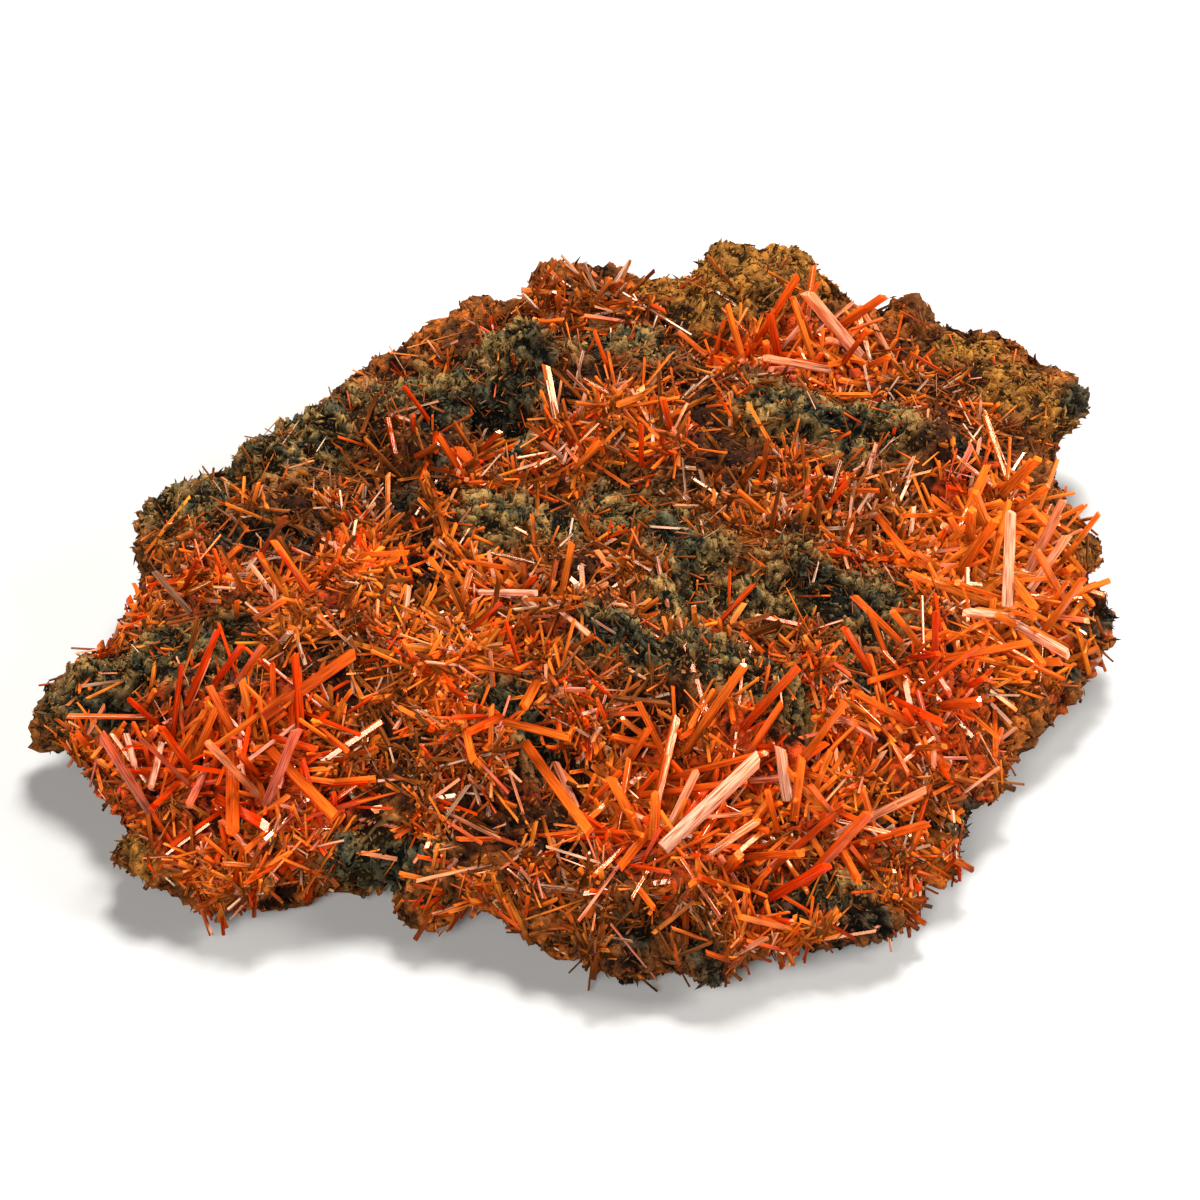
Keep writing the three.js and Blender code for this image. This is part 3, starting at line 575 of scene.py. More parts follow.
class Copies:
    """Gathers copies of templates, each with its place, turn, width, length and values, and joins them."""

    def __init__(self):
        self.points, self.corners, self.starts, self.uv, self.values = [], [], [], [], []
        self.point_count = self.corner_count = 0

    def add(self, template, feet, turns, wide, long, **values):
        """Adds one copy for each row. Turns are matrices whose third column runs along the copy."""
        count = len(feet)
        local = template.points[None] * np.asarray(wide)[:, None, None]
        local[:, :, 2] += template.far[None] * np.asarray(long)[:, None]
        placed = feet[:, None] + np.einsum("nij,nvj->nvi", turns, local)
        order = np.arange(count)[:, None]
        self.points.append(placed.reshape(-1, 3))
        self.corners.append((template.corners + order * len(template.points) + self.point_count).ravel())
        self.starts.append((template.starts + order * len(template.corners) + self.corner_count).ravel())
        uv = template.uv[None] * np.asarray(wide)[:, None, None]
        uv[:, :, 1] += template.uv_far[None] * np.asarray(long)[:, None]
        uv[:, :, 0] += COPY_SHIFT * order
        self.uv.append(uv.reshape(-1, 2))
        self.values.append({k: np.repeat(v, len(template.points), axis=0) for k, v in values.items()})
        self.values[-1]["tip"] = np.tile(template.far.astype(float), count)
        self.point_count += count * len(template.points)
        self.corner_count += count * len(template.corners)

    def mesh(self, name):
        """All the copies as one mesh, in metres, with their values as attributes."""
        points, corners = np.concatenate(self.points) * MM, np.concatenate(self.corners)
        starts = np.concatenate(self.starts)
        mesh = bpy.data.meshes.new(name)
        mesh.vertices.add(len(points))
        mesh.vertices.foreach_set("co", points.ravel().astype(np.float32))
        mesh.loops.add(len(corners))
        mesh.loops.foreach_set("vertex_index", corners.astype(np.int32))
        mesh.polygons.add(len(starts))
        mesh.polygons.foreach_set("loop_start", starts.astype(np.int32))
        mesh.update(calc_edges=True)
        mesh.shade_flat()
        uv = mesh.uv_layers.new(name="along")
        uv.data.foreach_set("uv", np.concatenate(self.uv).ravel().astype(np.float32))
        for key in self.values[0]:
            joined = np.concatenate([part[key] for part in self.values])
            store(mesh, key, joined, "FLOAT_COLOR" if joined.ndim > 1 else "FLOAT")
        if mesh.validate():
            raise RuntimeError(f"the mesh of {name} had faults")
        return mesh


def turns_along(directions, spins):
    """Matrices that stand a copy along each direction, turned about itself by its spin."""
    aside = np.cross(directions, np.where(np.abs(directions[:, 2:3]) < 0.9, (0, 0, 1), (1, 0, 0)))
    aside /= np.linalg.norm(aside, axis=1)[:, None]
    other = np.cross(directions, aside)
    cos, sin = np.cos(spins)[:, None], np.sin(spins)[:, None]
    first = cos * aside + sin * other
    return np.stack([first, np.cross(directions, first), directions], axis=2)


# ---- templates, in widths -------------------------------------------------------------------------------
HOLLOW_WALL, HOLLOW_TAPER = 0.12, 0.75  # wall at a hollow end, and how far the hollow narrows to its floor
DENT, DENT_SIZE, DENT_SHIFT = 0.4, 5.3, 11.3  # how deep and fine a crumb's dents are, and how they differ
SPLINTER = (1.9, 0.5, 0.45)  # long, wide and high


def prism_template(bevel=0.0, cuts=(), hollow=0.0):
    """A rhombic prism: its long edges bevelled, its end cut by planes (bearing, slope, depth) or hollowed."""
    bm = bmesh.new()
    bmesh.ops.create_circle(bm, cap_ends=True, segments=4, radius=0.5)
    bmesh.ops.scale(bm, vec=(1, FLATTENING, 1), verts=bm.verts)
    grown = bmesh.ops.extrude_face_region(bm, geom=bm.faces[:])
    top = [item for item in grown["geom"] if isinstance(item, bmesh.types.BMVert)]
    bmesh.ops.translate(bm, verts=top, vec=(0, 0, TALL))
    if bevel:
        long_edges = [e for e in bm.edges if abs(e.verts[0].co.z - e.verts[1].co.z) > TALL / 2]
        bmesh.ops.bevel(
            bm, geom=long_edges, offset=bevel, offset_type="OFFSET", segments=1, profile=0.5,
            affect="EDGES", material=-1,
        )
    for bearing, slope, depth in cuts:
        facing = Vector((slope * math.cos(bearing), slope * math.sin(bearing), 1)).normalized()
        bmesh.ops.bisect_plane(
            bm, geom=bm.verts[:] + bm.edges[:] + bm.faces[:], plane_co=(0, 0, TALL - depth), plane_no=facing,
            clear_outer=True,
        )
        bmesh.ops.holes_fill(bm, edges=[e for e in bm.edges if e.is_boundary])
    if hollow:
        end = max(bm.faces, key=lambda face: face.calc_center_median().z)
        bmesh.ops.inset_individual(bm, faces=[end], thickness=HOLLOW_WALL)
        bmesh.ops.translate(bm, verts=end.verts, vec=(0, 0, -hollow))
        bmesh.ops.scale(bm, vec=(HOLLOW_TAPER, HOLLOW_TAPER, 1), verts=end.verts)
    return template_of(bm, TALL)


def crumb_template(number):
    """A lump of eight faces, knocked out of round, every other one a splinter."""
    bm = bmesh.new()
    bmesh.ops.create_uvsphere(bm, u_segments=4, v_segments=2, radius=0.5)
    for vert in bm.verts:
        vert.co += DENT * noise.noise_vector(vert.co * DENT_SIZE + Vector((DENT_SHIFT * number, 0, 0)))
    sides = SPLINTER if number % 2 else (1, 0.75 + 0.1 * (number % 3), 0.55 + 0.12 * (number % 4))
    bmesh.ops.scale(bm, vec=sides, verts=bm.verts)
    return template_of(bm, 0)


def big_templates():
    """The ends that thick prisms have: slanted, chisel-shaped, pointed and hollow."""
    slanted = (0, SLANT, SLANT / 2)
    return [
        prism_template(0.05, [slanted]),
        prism_template(0.07, [slanted, (math.pi, 0.5, 0.1)]),
        prism_template(0.04, [(0.8, 1.1, 0.25), (2.9, 0.9, 0.2), (5.0, 1.3, 0.3)]),
        prism_template(0.05, [slanted], hollow=0.7),
    ]


def needle_templates():
    """The ends that needles have."""
    return [prism_template(cuts=[(0, SLANT, SLANT / 2)]), prism_template(cuts=[(0.8, 1.4, 0.3)])]


# ---- materials ------------------------------------------------------------------------------------------
def node(tree, kind, sockets=(), **settings):
    """Adds a shader node. Settings go on the node, and sockets holds values or the outputs that feed them."""
    made = tree.nodes.new("ShaderNode" + kind)
    for key, value in settings.items():
        setattr(made, key, value)
    for key, value in dict(sockets).items():
        if isinstance(value, bpy.types.NodeSocket):
            tree.links.new(value, made.inputs[key])
        else:
            made.inputs[key].default_value = value
    return made


# Sockets that share their names with others: a colour mix's, and the ends of what a range maps from and to.
MIX_A, MIX_B, MIX_RESULT = 6, 7, 2
FROM_LOW, FROM_HIGH, TO_LOW, TO_HIGH = 1, 2, 3, 4
BLOTCH, SPECK, SPECK_RELIEF = 2.6, 0.45, 0.5  # size of the rock's blotches and specks, and these' height
CLOUD = 1.8  # size of the spots of a film on the crystals
LINES = (7.0, 0.35, 1.0)  # lines along a prism: how many to a millimetre across it and along it
LINE_RELIEF = 0.03  # depth of those lines
TIP_LIGHT = 0.4  # painted light: how much brighter a prism is at its tip than at its foot


def new_material(name):
    """An empty material with its tree and its output node."""
    made = bpy.data.materials.new(name)
    made.use_nodes = True
    tree = made.node_tree
    tree.nodes.clear()
    return made, tree, node(tree, "OutputMaterial")


def gossan_material(settings):
    """Gossan, weathered iron oxide: matt earthy brown with rust, olive earth, ochre and dull black crusts,
    with painted shade in its hollows and among the crystals and painted light on its knobs.
    """
    made, tree, out = new_material("weathered_gossan")
    place = node(tree, "TexCoord").outputs["Object"]
    crust = node(tree, "Attribute", attribute_name="crust")
    grown = node(tree, "Attribute", attribute_name="grown").outputs["Fac"]
    raised = node(tree, "Attribute", attribute_name="raised").outputs["Fac"]
    kinds = node(tree, "SeparateColor", {0: crust.outputs["Color"]})
    blotches = {"Vector": place, "Scale": 1 / (BLOTCH * MM), "Detail": 3.0, "Roughness": 0.7}
    specks = {"Vector": place, "Scale": 1 / (SPECK * MM), "Detail": 2.0, "Roughness": 0.65}
    broad = node(tree, "TexNoise", blotches).outputs[0]
    fine = node(tree, "TexNoise", specks).outputs[0]
    rusty = node(tree, "MapRange", {0: broad, FROM_LOW: 0.46, FROM_HIGH: 0.62}).outputs[0]
    paints = {0: rusty, MIX_A: tuple(settings.brown), MIX_B: tuple(settings.rust)}
    tint = node(tree, "Mix", paints, data_type="RGBA").outputs[MIX_RESULT]
    layers = (
        # painted shadow first: the rock among the crystals darkened where shade falls
        (crust.outputs["Alpha"], settings.crystal_shadow),
        (grown, settings.grown),
        (kinds.outputs[OLIVE], settings.olive),
        (kinds.outputs[OCHRE], settings.ochre),
        (kinds.outputs[BLACK], settings.black),
    )
    for weight, paint in layers:
        ragged = node(tree, "Math", {0: weight, 1: broad}, operation="ADD").outputs[0]
        edge = node(tree, "MapRange", {0: ragged, FROM_LOW: 0.75, FROM_HIGH: 1.25, TO_HIGH: 0.85}).outputs[0]
        paints = {0: edge, MIX_A: tint, MIX_B: tuple(paint)}
        tint = node(tree, "Mix", paints, data_type="RGBA").outputs[MIX_RESULT]
    # painted shade and light: low relief and darker specks shaded, knobs lit
    relief = node(tree, "Math", {0: fine, 1: raised}, operation="ADD").outputs[0]
    shade_levels = {0: relief, FROM_LOW: 0.1, FROM_HIGH: 1.15, TO_LOW: 0.08, TO_HIGH: 1.6}
    shade = node(tree, "MapRange", shade_levels).outputs[0]
    shaded = node(tree, "VectorMath", {0: tint, 1: shade}, operation="MULTIPLY").outputs[0]
    bump = node(tree, "Bump", {"Height": fine, "Strength": 1.0, "Distance": SPECK_RELIEF * MM}).outputs[0]
    matt = {"Base Color": shaded, "Roughness": 0.88, "Specular IOR Level": 0.08, "Normal": bump}
    skin = node(tree, "BsdfPrincipled", matt)
    tree.links.new(skin.outputs[0], out.inputs["Surface"])
    return made


def crocoite_material(settings, name, clear, roughness, lustre, glow, foot_shade, grooves=0.0):
    """Crocoite, clear lead chromate: a lustre like diamond's from its high index, and lines along prisms,
    with painted shade towards their feet, painted light towards their tips and painted near-white highlights
    on some.
    """
    made, tree, out = new_material(name)
    tone, clean, tip, pale = (
        node(tree, "Attribute", attribute_name=key).outputs["Fac"] for key in ("tone", "clean", "tip", "pale")
    )
    place = node(tree, "TexCoord").outputs["Object"]
    along = node(tree, "UVMap", uv_map="along").outputs[0]
    lined = node(tree, "Mapping", {"Vector": along, "Scale": LINES}).outputs[0]
    lines = node(tree, "TexNoise", {"Vector": lined, "Scale": 1.0, "Detail": 1.0}).outputs[0]
    cloud = node(tree, "TexNoise", {"Vector": place, "Scale": 1 / (CLOUD * MM), "Detail": 1.0}).outputs[0]

    # painted light: each prism's tone moves towards bright at its tip
    tone_and_tip_light = node(tree, "Math", {0: tip, 1: TIP_LIGHT, 2: tone}, operation="MULTIPLY_ADD").outputs[0]
    paints = {0: tone_and_tip_light, MIX_A: tuple(settings.deep), MIX_B: tuple(settings.bright)}
    tint = node(tree, "Mix", paints, data_type="RGBA").outputs[MIX_RESULT]
    film = node(tree, "Math", {0: cloud, 1: clean}, operation="SUBTRACT").outputs[0]
    film = node(tree, "MapRange", {0: film, FROM_LOW: -0.35, FROM_HIGH: 0.35}).outputs[0]
    paints = {0: film, MIX_A: tint, MIX_B: tuple(settings.dusty)}
    tint = node(tree, "Mix", paints, data_type="RGBA").outputs[MIX_RESULT]

    dark_lines = {0: lines, FROM_LOW: 0.3, FROM_HIGH: 0.7, TO_LOW: 0.5, TO_HIGH: 1.25}
    streak = node(tree, "MapRange", dark_lines).outputs[0]
    # painted shade: prisms darker towards their foot, where they shade each other, and a little lighter at
    # the tip
    foot = node(tree, "MapRange", {0: tip, TO_LOW: foot_shade, TO_HIGH: 1.15}).outputs[0]
    lit = node(tree, "Math", {0: streak, 1: foot}, operation="MULTIPLY").outputs[0]
    tint = node(tree, "VectorMath", {0: tint, 1: lit}, operation="MULTIPLY").outputs[0]
    # painted highlight: prisms mixed towards near-white along their lines, for light thrown back by their
    # faces
    pale_lines = {0: lines, FROM_LOW: 0.35, FROM_HIGH: 0.6, TO_LOW: 0.1, TO_HIGH: 1.2}
    paler = node(tree, "MapRange", pale_lines).outputs[0]
    pale = node(tree, "Math", {0: pale, 1: paler}, operation="MULTIPLY").outputs[0]
    paints = {0: pale, MIX_A: tint, MIX_B: tuple(settings.pale)}
    tint = node(tree, "Mix", paints, data_type="RGBA").outputs[MIX_RESULT]

    surface = {
        "Base Color": tint, "Roughness": roughness, "IOR": 2.3, "Transmission Weight": clear,
        "Specular IOR Level": lustre, "Specular Tint": tuple(settings.sheen),
    }
    skin = node(tree, "BsdfPrincipled", surface)
    if grooves:
        relief = {"Height": lines, "Strength": grooves, "Distance": LINE_RELIEF * MM}
        tree.links.new(node(tree, "Bump", relief).outputs[0], skin.inputs["Normal"])
    through = node(tree, "BsdfTranslucent", {"Color": tint})
    both = node(tree, "MixShader", {0: glow, 1: skin.outputs[0], 2: through.outputs[0]})
    tree.links.new(both.outputs[0], out.inputs["Surface"])
    return made


def plain_material(name, paint):
    """A plain matt paint for the stage."""
    made, tree, out = new_material(name)
    skin = node(tree, "BsdfDiffuse", {"Color": tuple(paint)})
    tree.links.new(skin.outputs[0], out.inputs["Surface"])
    return made


# ---- the rock -------------------------------------------------------------------------------------------
def rock_mesh(settings):
    """The solid plate's mesh, made fine and roughened: lumps, knobbly crusts, grit and small hollows."""
    bm = bmesh.new()
    bm.from_mesh(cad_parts["matrix"].data)
    bmesh.ops.remove_doubles(bm, verts=bm.verts, dist=WELD * MM)
    for smooth in ROUNDING:
        bmesh.ops.subdivide_edges(bm, edges=bm.edges[:], cuts=1, smooth=smooth, use_grid_fill=True)
    bmesh.ops.triangulate(bm, faces=bm.faces[:])
    bm.normal_update()
    points = np.array([v.co for v in bm.verts]) / MM
    crusts = patch_weights(points)[:, :OCHRE].max(axis=1)
    lump, knob, grit = (getattr(settings, size) / MM for size in ("lump", "knob", "grit"))
    raised = []
    for vert, point, crust in zip(bm.verts, points, crusts):
        here = Vector(point)
        bent = here / knob + KNOB_BEND * noise.noise_vector(here / knob)
        knobs = KNOB_RISE * (noise.cell(bent) - 0.5) + SMALL_RISE * (noise.cell(SMALLER * bent) - 0.5)
        rough = (PLAIN_KNOBS + CRUST_KNOBS * crust) * knobs + GRIT_RISE * noise.noise(here / grit)
        rough -= PIT_DEPTH * max(0.0, noise.noise(here / (PIT_SIZE * lump) + PIT_SHIFT) - PIT_FROM)
        # the relief also sets painted shade and light: hollows darkened, knobs lightened
        raised.append(rough + SHADE_MIDDLE)
        folds = FOLD_DEPTH * noise.turbulence(here / knob, FOLD_LAYERS, True)
        rise = rough + LUMP_RISE * noise.noise(here / lump) - folds + EVEN_OUT
        standing = min(1.0, max(0.0, vert.co.z / MM - FOOT_FROM) / FOOT_OVER)
        vert.co += vert.normal * rise * standing * MM
        vert.co.z = max(0.0, vert.co.z)
    points = np.array([v.co for v in bm.verts]) / MM
    mesh = bpy.data.meshes.new("gossan_plate")
    bm.to_mesh(mesh)
    bm.free()
    mesh.shade_smooth()
    weights = patch_weights(points)
    up = (points[:, 2] > UPPER).astype(float)
    store(mesh, "raised", raised)
    store(mesh, "grown", grown_over(points) * up)
    # the alpha channel holds the painted shadow of the crystals
    crusts = np.column_stack([weights[:, :DUST] * up[:, None], shadowed(points) * up])
    store(mesh, "crust", crusts, "FLOAT_COLOR")
    return mesh


def surface_sample(mesh, count, random, weight_at):
    """Random places on a mesh and how it faces there, as dense as a weight of place and facing."""
    mesh.calc_loop_triangles()
    corners = np.empty(len(mesh.loop_triangles) * 3, np.int32)
    mesh.loop_triangles.foreach_get("vertices", corners)
    points = np.empty(len(mesh.vertices) * 3, np.float32)
    mesh.vertices.foreach_get("co", points)
    faces = points.reshape(-1, 3)[corners].reshape(-1, 3, 3) / MM
    cross = np.cross(faces[:, 1] - faces[:, 0], faces[:, 2] - faces[:, 0])
    area = np.linalg.norm(cross, axis=1) + 1e-12  # never nought
    facing = cross / area[:, None]
    share = area * weight_at(faces.mean(axis=1), facing)
    chosen = random.choice(len(faces), size=count, p=share / share.sum())
    a, b = random.random((2, count, 1))
    over = a + b > 1
    a, b = np.where(over, 1 - a, a), np.where(over, 1 - b, b)
    three = faces[chosen]
    places = three[:, 0] + a * (three[:, 1] - three[:, 0]) + b * (three[:, 2] - three[:, 0])
    return places, facing[chosen]


def inside_box(points):
    """Which points lie inside the solids' box."""
    low, high = (np.array(corner) / MM for corner in CAD_BOX)
    return ((points >= low) & (points <= high)).all(axis=1)


# ---- the crystals ---------------------------------------------------------------------------------------
Prism = namedtuple("Prism", "thicket foot along long wide spin number", defaults=(None,))


def direction(bearing, rise):
    """A direction from its bearing and its rise above the level, both in radians."""
    return Vector((math.cos(rise) * math.cos(bearing), math.cos(rise) * math.sin(bearing), math.sin(rise)))


def prism_at(ground, thicket, x, y, along, long, wide, spin):
    """A prism of a thicket that stands at a place in plan, or None beyond the rim."""
    point = rock_under(ground, x, y)[0]
    if point is None:
        return None
    return Prism(thicket, point + Vector((0, 0, GAP + CRUST / 2)), along, long, wide, spin)


def keeps_off(prism, other):
    """Whether a prism keeps its distance from another, as the solids' prisms do."""
    share, gap = (APART, 0) if other.thicket is prism.thicket else (CLEAR, 2 * GAP)
    nearest = math.inf
    for i in range(AXIS_SAMPLES + 1):
        away = prism.foot + prism.along * (prism.long * i / AXIS_SAMPLES) - other.foot
        reach = min(other.long, max(0.0, away.dot(other.along)))
        nearest = min(nearest, (away - other.along * reach).length)
    return nearest > share * (prism.wide + other.wide) + gap


def has_room(ground, prism, climb):
    """Whether a prism stays over the plate, off the other thickets and, if it has to climb, off the rock."""
    for i in range(1, AXIS_SAMPLES + 1):
        point = prism.foot + prism.along * (prism.long * i / AXIS_SAMPLES)
        under = rock_under(ground, point.x, point.y)[0]
        if under is None:
            return False
        height = point.z - under.z
        if climb is not None and height < climb * i:
            return False
        over = any(t is not prism.thicket and oval_share(t, point.x, point.y) < NEARBY for t in THICKETS)
        if over and height < CRUST / STEEPEST + prism.wide + 2 * GAP:
            return False
    return True


def place_in(thicket, around, out):
    """The place in plan some share of the way out of a thicket's oval, in a direction in radians."""
    place = Vector((math.cos(around) * thicket.oval[0], math.sin(around) * thicket.oval[1])) * out
    place.rotate(Matrix.Rotation(math.radians(thicket.turn), 2))
    return place.x + thicket.at[0], place.y + thicket.at[1]


def solid_prisms():
    """The prisms that the solids have, grown again in the same places."""
    ground = tree_of(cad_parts["matrix"].data)
    grown = []
    for thicket in THICKETS:
        for i, (x, y, bearing, rise, long, wide) in enumerate(thicket.main):
            along = direction(math.radians(bearing), math.radians(rise))
            prism = prism_at(ground, thicket, x, y, along, long, wide, SPIN_STEP * i)
            if prism and has_room(ground, prism, None):
                grown.append(prism._replace(number=i))
    for index, thicket in enumerate(THICKETS):
        draw = random_from(SEED + index)
        made = tries = 0
        while made < thicket.count and tries < TRIES * thicket.count:
            tries += 1
            x, y = place_in(thicket, 2 * math.pi * draw(), PLANTED * math.sqrt(draw()))
            along = direction(2 * math.pi * draw(), math.pi / 2 - math.radians(between(LEAN, draw())))
            long = between(thicket.long, draw())
            wide = between(thicket.wide, draw())
            spin = math.pi * draw()
            prism = prism_at(ground, thicket, x, y, along, long, wide, spin)
            if prism and has_room(ground, prism, CLIMB) and all(keeps_off(prism, other) for other in grown):
                grown.append(prism)
                made += 1
    return grown


def habit_of(thicket):
    """Whether a thicket's prisms are slender or stout."""
    return SLENDER if np.mean(thicket.long) < STOUT_FROM else STOUT


def infill(thicket, rock, random):
    """Thinner prisms between a thicket's own, leaning every way and lying across each other."""
    habit = habit_of(thicket)
    density = INFILL_DENSITY * habit.density * FULLNESS.get(thicket.name, 1)
    top = CAD_BOX[1][2] / MM
    grown = []
    for _ in range(int(density * math.pi * thicket.oval[0] * thicket.oval[1])):
        x, y = place_in(thicket, random.uniform(0, 2 * math.pi), habit.radius * math.sqrt(random.random()))
        point, facing = rock_under(rock, x, y)
        along = direction(random.uniform(0, 2 * math.pi), 0)
        rise = random.triangular(*INFILL_RISE, habit.rise)
        long = np.mean(thicket.long) * random.uniform(*INFILL_LONG)
        wide = np.mean(thicket.wide) * random.uniform(*INFILL_WIDE) * habit.infill_wide
        lift, spin = random.uniform(*INFILL_LIFT), random.uniform(0, math.pi)
        if point is None:
            continue
        room = (1 - bareness([point])[0]) * (1 - INFILL_DUST * patch_weights([point])[0, DUST])
        if random.random() > room * (clumps([point], INFILL_CLUMPS)[0] if habit.clumped else 1):
            continue
        along = (along - along.dot(facing) * facing).normalized() + rise * facing
        along.normalize()
        foot = point + facing * lift - along * INFILL_BACK * long
        tip = foot + along * long
        near = rock.find_nearest(tip, INFILL_REACH * np.mean(thicket.long))[0]
        outside = tip.z + wide > top or near is None or rock_under(rock, *tip)[0] is None
        if outside or along.z < STEEPEST_FALL or tip.z < LOWEST_TIP:
            continue
        grown.append(Prism(thicket, foot, along, long, wide, spin))
    return grown


def laths(prisms, random):
    """Narrower prisms grown side by side with some of the others, as steps along them."""
    grown = []
    for prism in prisms:
        if random.random() > LATHS:
            continue
        turned = prism_turn(prism.along, prism.spin)
        aside = turned @ Vector((0.5, 0.5 * FLATTENING, 0)) * LATH_ASIDE * prism.wide
        foot = prism.foot + aside * (1 if random.random() < 0.5 else -1)
        long = prism.long * random.uniform(*LATH_LONG)
        grown.append(prism._replace(foot=foot, long=long, wide=prism.wide * LATH_WIDE, number=None))
    return grown


def prism_turn(along, spin):
    """How a prism of the solids is turned about itself."""
    return (Vector((0, 0, 1)).rotation_difference(along) @ Quaternion((0, 0, 1), spin)).to_matrix()


def thicket_mesh(thicket, prisms, rock, random, templates):
    """All the prisms of a thicket in one mesh."""
    habit = habit_of(thicket)
    own = [
        prism if prism.number is not None
        else prism._replace(wide=habit.wide * prism.wide, long=habit.long * prism.long)
        for prism in prisms if prism.thicket is thicket
    ]
    own += laths(own, random)
    own += infill(thicket, rock, random)
    feet = np.array([prism.foot for prism in own])
    dust, wander = patch_weights(feet)[:, DUST], noise_at(feet, DRIFT)
    stands_out = [prism.number is not None for prism in own]
    shines = [prism.number in PALE.get(thicket.name, ()) for prism in own]
    # painted highlights: on a share of the prisms, and fully on the listed stand-out ones
    pale = random.uniform(*SOME_PALE, len(own)) * (random.random(len(own)) < PALE_SHARE)
    pale[shines] = FULLY_PALE
    # dust films the prisms, in shaded hollows partly as painted shade
    clean = habit.clean - (habit.film + DUST_FILM * dust) * random.random(len(own))
    clean[stands_out] = CLEANEST
    copies = Copies()
    kinds = random.choice(len(templates), size=len(own), p=END_SHARES)
    for kind, template in enumerate(templates):
        rows = [i for i in range(len(own)) if kinds[i] == kind]
        if not rows:
            continue
        copies.add(
            template,
            np.array([own[i].foot for i in rows]),
            np.array([prism_turn(own[i].along, own[i].spin) for i in rows]),
            np.array([own[i].wide for i in rows]),
            np.array([own[i].long for i in rows]),
            tone=random.uniform(*TONES.get(thicket.name, USUAL_TONES), len(rows)) + DRIFT_TONE * wander[rows],
            clean=clean[rows],
            pale=pale[rows],
        )
    return copies.mesh(thicket.name + "_prisms")


def reached(rock, points, reach):
    """Which points lie no farther from the rock than a reach in millimetres."""
    return np.array([rock.find_nearest(Vector(point), reach)[0] is not None for point in points])


def over_rock(rock, points):
    """Which points lie above the rock rather than beyond its rim."""
    return np.array([rock_under(rock, *point)[0] is not None for point in points])


def lit_weight(points, facing):
    """How densely the bright needles stand: in the thickets of short prisms, and thinly on the slopes."""
    front = (points[:, 1] < FRONT_Y) | ((points[:, 0] > EAST_X) & (points[:, 1] < REAR_Y))
    rim = np.where(front, LIT_RIM[0], np.where(points[:, 1] > REAR_Y, LIT_RIM[2], LIT_RIM[1]))
    upper = (facing[:, 2] > np.where(front, *LIT_STEEP)) * (points[:, 2] > LIT_LOW)
    upper = upper * (rim_share(points) < rim)
    outside = np.select([points[:, 1] < y for y, _ in OUTSIDE], [dense for _, dense in OUTSIDE])
    grown = (outside + IN_THICKET * short_grown(points)) * clumps(points, LIT_CLUMPS)
    grown *= 1 - UNDER_LONG * grown_over(points)
    return upper * grown * (1 - LIT_BARE * bareness(points)) * (1 - LIT_DUST * patch_weights(points)[:, DUST])


def dusty_weight(points, facing):
    """How densely the filmed needles stand: wherever dust lies, and thinly elsewhere, also on steep sides."""
    upper = (facing[:, 2] > DUSTY_STEEP) * (points[:, 2] > DUSTY_LOW)
    at_rim = ((1 - rim_share(points)) / DUSTY_FADE).clip(DUSTY_RIM, 1)
    inner = np.where(points[:, 1] < REAR_HALF_Y, 1, at_rim)
    dust = DUSTY_ELSEWHERE + patch_weights(points)[:, DUST]
    return upper * inner * dust * (1 - DUSTY_BARE * bareness(points)) * clumps(points, DUSTY_CLUMPS)


# Count, length and width are over the settings' own; rise is the likeliest and the greatest off the rock.
Sowing = namedtuple("Sowing", "name filmed count weight long wide rise reach clean")
SOWINGS = (
    Sowing("needles_long", False, 1, lit_weight, 1.1, 1.1, (0.2, 0.7), 2.2, 1.5),
    Sowing("needles_short", False, 1, lit_weight, 0.7, 0.75, (0.3, 1.0), 1.7, 1.5),
    Sowing("needles_dusty", True, 1.3, dusty_weight, 0.75, 0.58, (0.2, 0.9), 1.6, 1.2),
)


def varied(random, spread, count):
    """Random sizes around 1, mostly within a spread of it."""
    return random.lognormal(0, spread, count).clip(LEAST, MOST)


